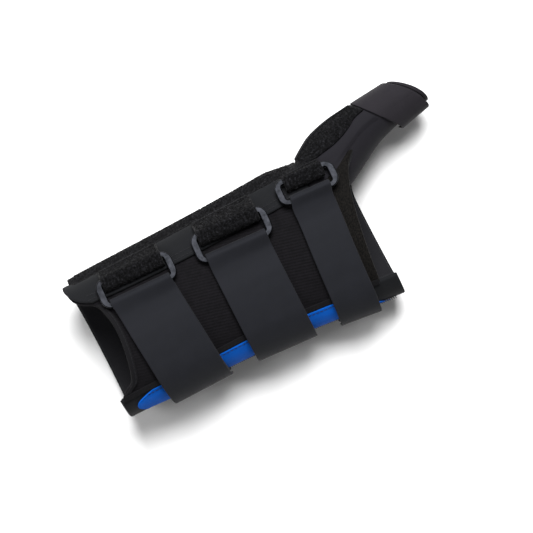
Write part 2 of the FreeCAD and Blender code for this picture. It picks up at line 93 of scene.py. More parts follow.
# %% A curve through a table
def curve_through(rows):
    """A smooth curve through a table's rows: give it a place, it gives back each column's value."""
    rows = sorted(rows)
    keys = np.array([row[0] for row in rows], float)
    values = np.array([row[1:] for row in rows], float)
    slopes = np.empty_like(values)
    slopes[1:-1] = (values[2:] - values[:-2]) / (keys[2:] - keys[:-2])[:, None]
    slopes[0] = (values[1] - values[0]) / (keys[1] - keys[0])
    slopes[-1] = (values[-1] - values[-2]) / (keys[-1] - keys[-2])

    def at(place):
        place = np.asarray(place, float)
        i = np.clip(np.searchsorted(keys, place) - 1, 0, len(keys) - 2)
        span = keys[i + 1] - keys[i]
        t = ((place - keys[i]) / span)[..., None]
        span = span[..., None]
        found = ((2 * t ** 3 - 3 * t ** 2 + 1) * values[i] + (t ** 3 - 2 * t ** 2 + t) * slopes[i] * span
                 + (3 * t ** 2 - 2 * t ** 3) * values[i + 1] + (t ** 3 - t ** 2) * slopes[i + 1] * span)
        return tuple(found[..., k] for k in range(values.shape[1]))
    return at


sleeve_row, thumb_row = curve_through(SLEEVE), curve_through(THUMB)
proximal_x = curve_through([(y, x) for x, y in PROXIMAL_EDGE])
distal_x = curve_through([(y, x) for x, y in DISTAL_EDGE])
flap_low_y = curve_through(FLAP_EDGE)

# %% [markdown]
# The sleeve's slices are superellipses, between an oval and a rounded box, because an arm in a snug
# splint is flatter than an oval. The thumb tube's slices are plain ovals that turn with the thumb.

# %% Points on the sleeve and on the thumb tube
def sleeve_section(x):
    low, high, b = sleeve_row(x)
    return (low + high) / 2, POCKET_DEPTH + b, (high - low) / 2, b


def on_sleeve(x, angle, d):
    """Points on the sleeve, d mm off it; 0 degrees is the thumb side, 90 the back, 180 the little finger."""
    yc, zc, a, b = sleeve_section(x)
    c, s = np.cos(np.radians(angle)), np.sin(np.radians(angle))
    r = (np.abs(c / (a + d)) ** ROUNDNESS + np.abs(s / (b + d)) ** ROUNDNESS) ** (-1 / ROUNDNESS)
    return np.stack(np.broadcast_arrays(x, yc + r * c, zc + r * s), -1)


def angle_at(x, y, d=0.0):
    """The angle of the place on the back of the sleeve that lies at y in plan."""
    yc, zc, a, b = sleeve_section(x)
    c = np.clip((y - yc) / (a + d), -0.9999, 0.9999)
    z = (b + d) * (1 - np.abs(c) ** ROUNDNESS) ** (1 / ROUNDNESS)
    return np.degrees(np.arctan2(z, y - yc))


def on_thumb(x, angle, d):
    """The same for the thumb tube, whose cross-sections turn towards the thumb side."""
    y, z, turn, half_w, half_h = thumb_row(x)
    t, w = np.radians(turn), np.radians(angle)
    side = (half_w + d) * np.cos(w)
    return np.stack(np.broadcast_arrays(x - side * np.sin(t), y + side * np.cos(t), z + (half_h + d) * np.sin(w)), -1)


def panel_ulnar_y(x):
    return -31.2 - np.maximum(0.0, x) * 0.095


def ease(t):
    """0 below 0, 1 above 1, and a soft S between."""
    t = np.clip(t, 0.0, 1.0)
    return t * t * (3 - 2 * t)


print("sleeve width at the wrist: %.1f mm" % (2 * sleeve_section(np.array(20.0))[2]))

# %% [markdown]
# ## Natural unevenness
#
# Real cloth is never perfectly smooth. A value noise gives each point in space a number between -1
# and 1 that changes gently over a chosen distance. It is worked out from fixed random numbers, so the
# splint comes out the same every time.

# %% Smooth noise
dice = np.random.default_rng(7)
LOTTERY = dice.uniform(-1, 1, 4096)


def unevenness(points, size, seed=0):
    p = points / size + seed * 7.13
    cell = np.floor(p).astype(np.int64)
    f = p - cell
    f = f * f * (3 - 2 * f)
    total = 0
    for corner in range(8):
        step = np.array([corner & 1, corner >> 1 & 1, corner >> 2])
        c = cell + step
        draw = LOTTERY[(c[..., 0] * 73856093 ^ c[..., 1] * 19349663 ^ c[..., 2] * 83492791) & 4095]
        weight = np.prod(np.where(step, f, 1 - f), -1)
        total = total + draw * weight
    return total


# %% [markdown]
# ## From points to pieces
#
# Every piece ends up in `add_piece`: it makes the mesh, gives it a material, says which moving body
# carries it and which plain CAD solids it stands for. Each cloth also carries a "lay", the place of
# every point on the flat cloth in millimetres, so that weave and ribs follow the cloth and not the room.

# %% Making a mesh
def add_piece(name, points, faces, material, body="splint", stands_for=(), lay=None, slot=None):
    """One named piece from its points in mm. It rides on a body and may stand for plain CAD solids."""
    mesh = bpy.data.meshes.new(name)
    mesh.from_pydata((np.asarray(points) * MM).tolist(), [], [list(map(int, f)) for f in faces])
    mesh.update()
    if lay is not None:
        store = mesh.attributes.new("lay", "FLOAT_VECTOR", "POINT")
        store.data.foreach_set("vector", np.asarray(lay, np.float32).ravel())
    mesh.polygons.foreach_set("use_smooth", [True] * len(mesh.polygons))
    piece = bpy.data.objects.new(name, mesh)
    bpy.context.scene.collection.objects.link(piece)
    mesh.materials.append(material)
    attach(piece, body)
    if stands_for:
        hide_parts(*stands_for)
    return piece

# %% [markdown]
# A real cloth edge is rounded, not cut square. The slab builder makes a grid on a surface, gives it a
# thickness, and closes up the spacing near the rims, so that they roll over in a few fine steps.

# %% The slab builder
def soft_steps(length, step, rim):
    """Places from 0 to 1 along a cloth, close together in the last rim mm at both ends."""
    rim = min(rim, length * 0.3)
    lead = np.array([0.0, 0.05, 0.18, 0.38, 0.66, 1.0]) * rim
    count = max(2, int(math.ceil((length - 2 * rim) / step)))
    inner = np.linspace(rim, length - rim, count + 1)[1:-1]
    return np.concatenate([lead, inner, length - lead[::-1]]) / length


def run_lengths(points, axis):
    """Mean length in mm of a grid's lines along one axis, and how far along it each point is."""
    gaps = np.linalg.norm(np.diff(points, axis=axis), axis=-1)
    along = np.concatenate([np.zeros_like(np.take(gaps, [0], axis)), np.cumsum(gaps, axis)], axis)
    return float(np.mean(np.take(along, -1, axis))), along


def only_used(points, faces, lay):
    """The same mesh without the points that no face uses."""
    used = np.unique(faces)
    remap = np.full(len(points), -1)
    remap[used] = np.arange(len(used))
    return points[used], remap[faces], lay[used]


def slab_mesh(surface, half, step=(2.0, 2.0), rim=0.7, relief=None):
    """A cloth with rounded rims. surface(s, t, off) gives points, s and t from 0 to 1.

    half is half its thickness; relief(s_mm, t_mm, points) lifts its outer face."""
    coarse = np.linspace(0, 1, 25)
    s, t = np.meshgrid(coarse, coarse, indexing="ij")
    length, across = run_lengths(surface(s, t, 0.0), 0)[0], run_lengths(surface(s, t, 0.0), 1)[0]
    s_line, t_line = soft_steps(length, step[0], rim), soft_steps(across, step[1], rim)
    s, t = np.meshgrid(s_line, t_line, indexing="ij")
    middle = surface(s, t, 0.0)
    s_mm, t_mm = run_lengths(middle, 0)[1], run_lengths(middle, 1)[1]
    edge = np.minimum(np.minimum(s_mm, s_mm[-1:] - s_mm), np.minimum(t_mm, t_mm[:, -1:] - t_mm))
    swell = np.sqrt(np.clip(1 - (1 - np.minimum(edge / rim, 1)) ** 2, 0, 1))
    thick = np.broadcast_to(half(s, t) if callable(half) else half, s.shape) * swell
    lift = relief(s_mm, t_mm, middle) * ease(edge / rim) if relief else 0.0
    top, bottom = surface(s, t, thick + lift), surface(s, t, -thick)
    ns, nt = s.shape
    index = np.arange(ns * nt).reshape(ns, nt)
    low_index = index + ns * nt
    border = np.zeros((ns, nt), bool)
    border[[0, -1], :] = border[:, [0, -1]] = True
    low_index[border] = index[border]
    points = np.concatenate([top.reshape(-1, 3), bottom.reshape(-1, 3)])
    # The lay's third number is the relief height: the knits paint shade into its low places, the pile paints glints on
    # its high places.
    lay = np.stack([s_mm, t_mm, np.broadcast_to(lift, s_mm.shape)], -1).reshape(-1, 3)
    lay = np.concatenate([lay, lay * [1, 1, 0]])

    def quads(grid, flip):
        a, b, c, d = grid[:-1, :-1].ravel(), grid[1:, :-1].ravel(), grid[1:, 1:].ravel(), grid[:-1, 1:].ravel()
        return np.stack([a, d, c, b] if flip else [a, b, c, d], -1)

    faces = np.concatenate([quads(index, False), quads(low_index, True)])
    probe = surface(np.array(0.5), np.array(0.5), 1.0) - surface(np.array(0.5), np.array(0.5), 0.0)
    mid_s, mid_t = ns // 2, nt // 2
    outward = np.cross(top[mid_s + 1, mid_t] - top[mid_s, mid_t], top[mid_s, mid_t + 1] - top[mid_s, mid_t])
    if outward @ probe < 0:
        faces = faces[:, ::-1]
    return only_used(points, faces, lay)

# %% [markdown]
# Straps are long flat tapes. A list of four-cornered slices says where a strap goes, and a smooth
# curve through the slices gives a surface that the slab builder can turn into cloth.

# %% The tape builder
def tape_surface(sections):
    """A surface function for a flat tape through four-cornered sections (as the CAD straps are)."""
    corners = np.array(sections, float)
    middle = (corners[:, 0] + corners[:, 2]) / 2
    place = np.concatenate([[0], np.cumsum(np.linalg.norm(np.diff(middle, axis=0), axis=1))])
    flat = curve_through([(p, *c.ravel()) for p, c in zip(place, corners)])

    def surface(s, t, off):
        values = np.stack(flat(s * place[-1]), -1).reshape(s.shape + (4, 3))
        t3 = t[..., None]
        low = values[..., 0, :] * (1 - t3) + values[..., 1, :] * t3
        high = values[..., 3, :] * (1 - t3) + values[..., 2, :] * t3
        out = high - low
        out /= np.linalg.norm(out, axis=-1, keepdims=True)
        return (low + high) / 2 + out * np.asarray(off)[..., None]
    return surface


# %% [markdown]
# ## A small language for materials
#
# Node materials are easier to read as formulas. `Wire` wraps one socket, so that `a * 2 + b` adds the
# Math nodes for us, and `Recipe` is one material with a `node` method for every other kind of node.

# %% Wires and recipes
class Wire:
    """A value on its way through a material's nodes."""

    def __init__(self, recipe, socket):
        self.recipe, self.socket = recipe, socket

    def maths(self, operation, *others):
        return self.recipe.node("ShaderNodeMath", {"operation": operation}, dict(enumerate((self,) + others)))

    def __add__(self, other): return self.maths("ADD", other)
    def __radd__(self, other): return self.maths("ADD", other)
    def __mul__(self, other): return self.maths("MULTIPLY", other)
    def __rmul__(self, other): return self.maths("MULTIPLY", other)
    def __sub__(self, other): return self.maths("SUBTRACT", other)
    def __rsub__(self, other): return (self * -1.0).maths("ADD", other)
    def sine(self): return self.maths("SINE")
    def least(self, other): return self.maths("MINIMUM", other)
    def most(self, other): return self.maths("MAXIMUM", other)

# %% [markdown]
# The recipe is the material itself. It feeds plain numbers and colours straight to a socket, and links
# anything that changes over the surface.

# %% The recipe
class Recipe:
    """One material. node() adds a node and gives back one of its outputs as a Wire."""

    def __init__(self, name):
        self.material = bpy.data.materials.new(name)
        self.material.use_nodes = True
        self.tree = self.material.node_tree
        self.shader = self.tree.nodes["Principled BSDF"]

    def feed(self, socket, value):
        if isinstance(value, Wire):
            self.tree.links.new(value.socket, socket)
        elif isinstance(value, (tuple, list)) and len(value) == 3 and socket.type == "RGBA":
            socket.default_value = (*value, 1.0)
        else:
            socket.default_value = value

    def node(self, kind, settings=None, inputs=None, output=0):
        made = self.tree.nodes.new(kind)
        for key, value in (settings or {}).items():
            setattr(made, key, value)
        for key, value in (inputs or {}).items():
            self.feed(made.inputs[key], value)
        return Wire(self, made.outputs[output])

    def mix(self, factor, a, b):
        return self.node("ShaderNodeMix", {"data_type": "RGBA"}, {0: factor, 6: a, 7: b}, 2)

    def lay(self):
        """Where a point lies on the flat cloth, in mm: along, across."""
        vector = self.node("ShaderNodeAttribute", {"attribute_name": "lay"}, output=1)
        along = self.node("ShaderNodeSeparateXYZ", inputs={0: vector}, output=0)
        across = Wire(self, along.socket.node.outputs[1])
        return vector, along, across

    def place(self, scale):
        """The point in the room, scaled."""
        spot = self.node("ShaderNodeTexCoord", output=3)
        return self.node("ShaderNodeVectorMath", {"operation": "SCALE"}, {0: spot, "Scale": scale})

    def noise(self, vector, scale, detail=2.0, roughness=0.5):
        return self.node("ShaderNodeTexNoise", inputs={"Vector": vector, "Scale": scale, "Detail": detail,
                                                       "Roughness": roughness})

    def bump(self, height, distance):
        """Small relief from a height; distance is how far it stands, in mm."""
        return self.node("ShaderNodeBump", inputs={"Height": height, "Distance": distance * MM, "Strength": 1.0})

    def finish(self, **sockets):
        for key, value in sockets.items():
            self.feed(self.shader.inputs[key.replace("_", " ")], value)
        return self.material


def grey(r, g, b):
    """A colour given as it looks on a screen, from 0 to 255."""
    def linear(c):
        c /= 255.0
        return c / 12.92 if c <= 0.04045 else ((c + 0.055) / 1.055) ** 2.4
    return (linear(r), linear(g), linear(b))


# %% [markdown]
# ## The cloths
#
# The splint is nearly all black, so its cloths are told apart by how they scatter light: the straps
# are a brushed, slightly blue charcoal, the loop pile is a deep speckled black, the back panel is a
# fine ribbed knit and the border is a brownish knitted elastic.

# %% Strap and laminate cloth
TURN = 6.2832


def brushed_cloth(name, colour, dark, weave=0.55, sheen=0.04, depth=0.05):
    r = Recipe(name)
    vector, along, across = r.lay()
    thread = (along * (TURN / weave)).sine() * (across * (TURN / weave)).sine()
    fluff = r.noise(vector, 2.6, 3.0, 0.65)
    cloud = r.noise(vector, 0.12, 2.0)
    tone = r.mix((fluff * 0.7 + cloud * 0.5 - 0.25).most(0.0).least(1.0), dark, colour)
    height = thread * 0.35 + fluff
    return r.finish(Base_Color=tone, Roughness=cloud * 0.12 + 0.72, Normal=r.bump(height, depth),
                    Sheen_Weight=sheen, Sheen_Roughness=0.45, Specular_IOR_Level=0.1)


strap_cloth = brushed_cloth("charcoal strap cloth", grey(32, 33, 38), grey(22, 23, 27))
laminate = brushed_cloth("smooth foam laminate", grey(24, 25, 28), grey(16, 17, 19), weave=0.7)
thumb_cloth = brushed_cloth("thumb band cloth", grey(40, 38, 42), grey(28, 26, 30))
panel_cloth = brushed_cloth("thumb panel cloth", grey(33, 32, 37), grey(22, 21, 25))
fleece = brushed_cloth("brushed lining", grey(36, 36, 39), grey(20, 20, 23), weave=1.1, sheen=0.08, depth=0.2)
hem_cloth = brushed_cloth("binding cloth", grey(20, 19, 22), grey(10, 10, 12), weave=0.5)


# %% [markdown]
# Loop pile is a mat of tiny yarn loops. Its loops catch light one by one, so the colour is a deep black
# with painted glints, pale flecks of two sizes. A third number in the lay says how much painted glint each
# curl of yarn gets; on the cloth under the curls it is the height of its lumps, so high lumps get painted light.

# %% Loop pile
def loop_pile(name):
    r = Recipe(name)
    vector, along, across = r.lay()
    loops = r.node("ShaderNodeTexVoronoi", {"feature": "F1"}, {"Vector": vector, "Scale": 1.15, "Randomness": 1.0})
    curl = r.noise(vector, 2.2, 4.0, 0.7)
    height = Wire(r, along.socket.node.outputs[2])
    tuft = r.noise(vector, 0.75, 2.0, 0.6)
    # Painted glints: pale flecks where loops would catch light, stronger on high lumps and on some curls.
    glint = (curl * 2.0 + tuft * 3.4 - 2.55 + height * 0.9).most(0.0).least(1.0) * (1.0 - loops).most(0.0)
    tone = r.mix(glint, grey(3, 3, 4), grey(46, 46, 50))
    return r.finish(Base_Color=tone, Roughness=0.85 - glint * 0.2, Normal=r.bump(curl - loops * 0.6, 0.5),
                    Sheen_Weight=0.03, Specular_IOR_Level=0.08)


pile = loop_pile("fuzzy loop pile")


# %% [markdown]
# The two knits share one recipe. The ridges are real geometry, so the recipe only has to paint shade into the
# grooves, which it finds from the height kept in the lay, and add the small stitches and the wool.

# %% Ribbed stretch knit and knitted elastic
def ribbed(name, colour, groove_shade, pitch, skew, wales, flecks):
    r = Recipe(name)
    vector, along, across = r.lay()
    height = Wire(r, along.socket.node.outputs[2])
    stitch = ((along - across * skew) * (TURN / wales)).sine() * (across * (TURN / pitch)).sine()
    wool = r.noise(vector, 3.0, 3.0, 0.6)
    fleck = r.noise(vector, 0.9, 3.0, 0.7)
    # Painted shade: the lower the relief (the height in the lay), the nearer the colour comes to the dark groove
    # colour; wool, flecks and stitches are the knit's own tone.
    tone = r.mix((height * 3.0 + 0.5 + (wool - 0.5) * 0.8 + (fleck - 0.5) * flecks + stitch * 0.1).most(0.0).least(1.0),
                 groove_shade, colour)
    return r.finish(Base_Color=tone, Roughness=0.8 - wool * 0.1, Normal=r.bump(stitch * 0.3 + wool, 0.12),
                    Sheen_Weight=0.03, Specular_IOR_Level=0.08)


# The second colour of each knit is the painted shade for its grooves.
rib_knit = ribbed("ribbed stretch knit", grey(18, 16, 20), grey(3, 3, 4), 0.6, 0.2, 0.8, 1.4)
elastic = ribbed("knitted elastic", grey(19, 17, 15), grey(1, 1, 1), 0.7, 0.0, 1.4, 5.0)


# %% [markdown]
# The blue tape is a flat weave of warp and weft. Thread, moulded hooks and plated metal are small
# things, so each gets a fine grain at its own scale and a roughness that suits it.

# %% Blue tape, thread, hooks and metal
def woven_tape(name, colour, shade):
    r = Recipe(name)
    vector, along, across = r.lay()
    warp = (along * (TURN / 0.9)).sine()
    weft = (across * (TURN / 0.7)).sine()
    slub = r.noise(vector, 1.4, 3.0)
    tone = r.mix((warp * weft * 0.3 + slub).most(0.0).least(1.0), shade, colour)
    return r.finish(Base_Color=tone, Roughness=0.62 + slub * 0.1, Normal=r.bump(warp * weft + slub, 0.08),
                    Sheen_Weight=0.0, Specular_IOR_Level=0.05)


blue_tape = woven_tape("blue woven tape", grey(8, 94, 196), grey(5, 74, 162))


def thread_material(name, colour, shade):
    r = Recipe(name)
    spot = r.place(1000.0)
    twist = r.noise(spot, 4.0, 2.0)
    return r.finish(Base_Color=r.mix(twist, shade, colour), Roughness=0.55 + twist * 0.1,
                    Normal=r.bump(twist, 0.05), Sheen_Weight=0.02,
                    Specular_IOR_Level=0.15)


black_thread = thread_material("black thread", grey(34, 34, 38), grey(12, 12, 14))
overlock_thread = thread_material("overlock thread", grey(22, 22, 25), grey(7, 7, 9))


def hook_plastic(name):
    r = Recipe(name)
    spot = r.place(1000.0)
    grain = r.noise(spot, 1.5, 3.0)
    return r.finish(Base_Color=r.mix(grain, grey(22, 22, 25), grey(44, 44, 48)), Roughness=0.38 + grain * 0.15,
                    Normal=r.bump(grain, 0.05))


hooks = hook_plastic("moulded hook tape")


def plated_metal(name, colour, worn, rough):
    r = Recipe(name)
    spot = r.place(1000.0)
    cloud = r.noise(spot, 0.25, 4.0, 0.6)
    fine = r.noise(spot, 6.0, 2.0)
    return r.finish(Base_Color=r.mix((cloud * 2.4 - 0.75).most(0.0).least(1.0), colour, worn),
                    Metallic=1.0, Roughness=cloud * 0.12 + rough, Normal=r.bump(fine, 0.012))


gunmetal = plated_metal("gunmetal plating", grey(16, 17, 19), grey(40, 41, 45), 0.39)
stay_metal = plated_metal("rolled aluminium", grey(120, 122, 126), grey(146, 148, 152), 0.34)
print("materials made")

# %% [markdown]
# ## The sleeve
#
# The shell of the sleeve is one piece of thin foam laminate. It goes all the way round the palm and
# stops at two long edges on the back of the hand, where the stretchy panel is let in. A patch is
# described by where it starts and ends along the arm and round it. Its end edges are curves in plan,
# so each line of the patch looks for the place where it meets them.

# %% Patches of the sleeve
def patch(start, end, a0, a1, d, looks=9):
    """A surface over part of the sleeve. start and end give x from the point's y and angle."""
    def limit(edge, x, t):
        for _ in range(looks):
            angle = a0(x) * (1 - t) + a1(x) * t
            spot = on_sleeve(x, angle, 0.0)
            x = (x + edge(spot[..., 1], angle)) / 2
        return x

    def surface(s, t, off):
        x0, x1 = limit(start, np.full(t.shape, -85.0), t), limit(end, np.full(t.shape, 80.0), t)
        x = x0 * (1 - s) + x1 * s
        angle = a0(x) * (1 - t) + a1(x) * t
        depth = d(x, angle) if callable(d) else d
        return on_sleeve(x, angle, depth + off)
    return surface


def always(value):
    return lambda *place: np.full(np.shape(place[0]), float(value))


def splint_start(y, angle):
    on_back = (angle > 0) & (angle < 180)
    return np.where(on_back, proximal_x(y)[0], -89.5)

# %% [markdown]
# Along the hand the sleeve ends in one line that dips between thumb and fingers. On the palm side it
# ends straighter. The two run into each other round the sides of the hand.

# %% Where the sleeve ends
web_x = curve_through([(-60.0, 89.0), (8.0, 89.0), (18.0, 90.0), (27.0, 93.5), (35.0, 100.0), (50.0, 101.0)])


def splint_end(y, angle):
    on_back = (angle > 0) & (angle < 180)
    back = np.minimum(distal_x(y)[0], 104.0)
    palm = np.minimum(web_x(y)[0], 101.0)
    blend = ease((angle + 12.0) / 30.0) if np.ndim(angle) else 1.0
    far = ease((angle + 168.0) / -24.0)
    inside = palm * (1 - blend) + back * blend
    return np.where(on_back & (y > 0), inside, np.where(on_back, back, inside * (1 - far) + 88.8 * far))


shell_surface = patch(splint_start, splint_end, lambda x: angle_at(x, panel_ulnar_y(x) - 0.4) - 360.0,
                      lambda x: angle_at(x, 34.1), -WALL / 2)
lining_surface = patch(lambda y, w: splint_start(y, w) + 1.0, lambda y, w: splint_end(y, w) - 1.0,
                       lambda x: angle_at(x, panel_ulnar_y(x) - 0.4) - 358.5, lambda x: angle_at(x, 32.6),
                       -WALL - GAP - LINING / 2)

# %% [markdown]
# Worn cloth settles, so its surface is a little uneven. The sleeve has a hole for the thumb: the faces
# that lie inside the thumb tube are left out.

# %% Settled cloth, the thumb hole and the shell
def settled(surface, depth):
    """The same surface, a little uneven, as cloth on an arm is."""
    def uneven(s, t, off):
        points = surface(s, t, off)
        wave = surface(s, t, np.asarray(off) + 1.0) - points
        return points + wave * (unevenness(points, 19.0, 3) * depth)[..., None]
    return uneven


def drop_inside_thumb(points, faces, lay, depth):
    """Leaves out the part of a patch that lies inside the thumb tube."""
    keep = ~inside_thumb(points, depth)[faces].all(1)
    return only_used(points, faces[keep], lay)


def inside_thumb(points, d):
    """True for points inside the thumb tube's surface, d mm off it."""
    x = points[:, 0].copy()
    for _ in range(12):
        y, z, turn, half_w, half_h = thumb_row(np.clip(x, 64.0, 142.0))
        lean = np.radians(turn)
        side = (points[:, 1] - y) / np.cos(lean)
        x = points[:, 0] + side * np.sin(lean)
    inside = (side / (half_w + d)) ** 2 + ((points[:, 2] - z) / (half_h + d)) ** 2 < 1
    return inside & (x > 64.0)


points, faces, lay = drop_inside_thumb(*slab_mesh(settled(shell_surface, 0.1), WALL / 2, (1.6, 1.6), 0.85), -WALL)
sleeve_shell = add_piece("sleeve_shell", points, faces, laminate, stands_for=["body_shell"], lay=lay, slot="laminate")
points, faces, lay = drop_inside_thumb(*slab_mesh(lining_surface, LINING / 2, (2.4, 2.4), 0.5), -WALL - 0.2)
add_piece("sleeve_lining", points, faces, fleece, stands_for=["body_lining"], lay=lay, slot="fleece")
print("shell faces:", len(sleeve_shell.data.polygons))

# %% [markdown]
# ## The stretch panel on the back
#
# The ribs of the stretch panel are modelled, not only drawn: each is a 1.7 mm ridge that runs slightly
# askew to the arm. The border in front of it is knitted more tightly, with its rows across the hand.

# %% Back panel and border
RIB_PITCH, RIB_SKEW = 1.7, math.radians(-13.5)


def ribs(s_mm, t_mm, points):
    drift = 0.8 * unevenness(points, 40.0, 4)
    row = points[..., 1] * math.cos(RIB_SKEW) - points[..., 0] * math.sin(RIB_SKEW) + drift
    ridge = np.abs(np.sin(np.pi * row / RIB_PITCH)) ** 0.8
    return 0.17 * (ridge - 0.8) + 0.05 * unevenness(points, 3.0, 5)


panel_border_x = curve_through([(-44.0, 66.5), (-25.0, 67.0), (-7.0, 69.5), (11.0, 72.0), (27.0, 76.0), (36.0, 82.0)])
panel_surface = patch(splint_start, lambda y, w: panel_border_x(y)[0], lambda x: angle_at(x, 33.6),
                      lambda x: angle_at(x, panel_ulnar_y(x)), -0.78)


def add_slab(name, surface, half, material, step=(1.2, 1.2), rim=0.6, relief=None, **more):
    points, faces, lay = slab_mesh(surface, half, step, rim, relief)
    return add_piece(name, points, faces, material, lay=lay, **more)


add_slab("back_panel", settled(panel_surface, 0.12), 0.7, rib_knit, (0.9, 0.3), 0.6, ribs,
         stands_for=["dorsal_panel"], slot="stretch_rib")
border_surface = patch(lambda y, w: panel_border_x(y)[0] + 0.35, lambda y, w: distal_x(y)[0],
                       lambda x: angle_at(x, 33.6 + 4.4 * ease((x - 78.0) / 9.0)),
                       lambda x: angle_at(x, panel_ulnar_y(x)), -0.67)


KNIT_ROW, KNIT_STITCH = 1.15, 1.3


def knit_rows(s_mm, t_mm, points):
    rows = np.abs(np.sin(np.pi * s_mm / KNIT_ROW))
    stitches = np.abs(np.sin(np.pi * (t_mm / KNIT_STITCH + 0.5 * np.floor(s_mm / KNIT_ROW))))
    return 0.22 * (rows * 0.7 + stitches * 0.3 - 0.6) + 0.04 * unevenness(points, 2.0, 6)


add_slab("front_border", border_surface, 0.92, elastic, (0.35, 0.4), 0.8, knit_rows,
         stands_for=["distal_border"], slot="knit_elastic")
print("rib pitch %.1f mm, knitted row %.2f mm" % (RIB_PITCH, KNIT_ROW))


# %% [markdown]
# Stitches, hooks and curls of yarn are all short round threads, so one function makes thousands of
# them as one mesh. A narrow tape covers the seam on the little-finger side, and a hem binds the
# hollowed edge at the forearm.

# %% Threads, seam tape and hem
def threads(paths, radius, sides=6):
    """Many round threads as one mesh. Every path has the same number of points."""
    paths = np.array(list(paths), float)
    ahead = np.gradient(paths, axis=1)
    ahead /= np.linalg.norm(ahead, axis=-1, keepdims=True) + 1e-12
    up = np.where(np.abs(ahead[..., 2:]) < 0.9, [0.0, 0.0, 1.0], [1.0, 0.0, 0.0])
    side = np.cross(ahead, up)
    side /= np.linalg.norm(side, axis=-1, keepdims=True)
    up = np.cross(side, ahead)
    turn = np.arange(sides) * 2 * np.pi / sides
    spokes = side[:, :, None] * np.cos(turn)[:, None] + up[:, :, None] * np.sin(turn)[:, None]
    rings = paths[:, :, None] + radius * spokes
    count, length = paths.shape[:2]
    index = np.arange(count * length * sides).reshape(count, length, sides)
    turned = np.roll(index, -1, axis=2)
    walls = np.stack([index[:, :-1], index[:, 1:], turned[:, 1:], turned[:, :-1]], -1).reshape(-1, 4)
    caps = [tuple(row[::-1]) for row in index[:, 0]] + [tuple(row) for row in index[:, -1]]
    return rings.reshape(-1, 3), [tuple(row) for row in walls] + caps


def joined(*meshes):
    """Several meshes, each (points, faces, lay), as one."""
    points, faces, lay, shift = [], [], [], 0
    for some_points, some_faces, some_lay in meshes:
        points.append(some_points)
        lay.append(some_lay)
        faces += [tuple(i + shift for i in face) for face in some_faces]
        shift += len(some_points)
    return np.concatenate(points), faces, np.concatenate(lay)


seam_surface = patch(lambda y, w: proximal_x(y)[0] + 0.1, always(77.0), lambda x: angle_at(x, panel_ulnar_y(x) + 2.2),
                     lambda x: angle_at(x, panel_ulnar_y(x) - 0.9), 0.75)


def small_puckers(s_mm, t_mm, points):
    return 0.07 * np.sin(s_mm * 2 * np.pi / 2.4) + 0.05 * unevenness(points, 4.0, 8)


add_slab("seam_tape", seam_surface, 0.2, hem_cloth, (0.5, 0.4), 0.25, small_puckers,
         stands_for=["dorsal_seam_tape"], slot="knit_elastic")
hem_surface = patch(lambda y, w: proximal_x(y)[0] + 0.1, lambda y, w: proximal_x(y)[0] + 3.4,
                    lambda x: angle_at(x, 24.6), lambda x: angle_at(x, -28.7), 0.55)
add_slab("forearm_hem", hem_surface, 0.3, hem_cloth, (0.5, 0.8), 0.3, small_puckers,
         stands_for=["proximal_hem"], slot="knit_elastic")

# %% [markdown]
# ## Thumb-side flap and stay pocket
#
# A smooth flap lies on the back beside the panel, and a pocket of loop pile runs down the thumb side.
# The pocket is a cover over a hollow, because the metal stay slides in it.

# %% Flap and pocket
flap_start_x = curve_through([(20.0, -66.0), (26.0, -76.0), (28.6, -81.3), (31.4, -85.2), (34.0, -87.4), (38.0, -89.7),
                              (41.0, -90.3), (43.6, -89.4), (45.2, -87.2), (47.0, -83.0)])
flap_surface = patch(lambda y, w: flap_start_x(y)[0], always(66.1),
                     lambda x: 12.0 + (angle_at(x, 41.0, 1.0) - 12.0) * ease((x + 87.0) / 5.0),
                     lambda x: angle_at(x, flap_low_y(x)[0], 1.0), 1.6)
add_slab("thumb_side_flap", settled(flap_surface, 0.08), 0.62, laminate, (1.0, 0.7), 0.65,
         lambda s, t, p: 0.12 * unevenness(p, 9.0, 9), stands_for=["radial_flap"], slot="laminate")

# %% [markdown]
# The pocket bulges over its stay and is sewn flat all round. Pile cloth is a lumpy slab with thousands
# of small curls of yarn on it, set down with fixed random numbers.

# %% Pocket of loop pile
def pocket_cover(x, angle):
    high_angle = angle_at(x, 41.9, 1.0)
    top = 2.6 + 1.7 * np.exp(-(angle / 17.0) ** 4)
    sewn = ease(np.minimum(angle + 34.0, high_angle - angle) / 9.0) * (1 - ease((x - 44.0) / 20.0))
    return 0.85 * (1 - sewn) + (top - 0.55) * sewn


pocket_surface = patch(always(-85.9), always(65.4), always(-34.0), lambda x: angle_at(x, 41.9, 1.0), pocket_cover)


def pile_lumps(s_mm, t_mm, points):
    return 0.2 * unevenness(points, 1.3, 10) + 0.12 * unevenness(points, 0.6, 11)


pile_dice = np.random.default_rng(23)


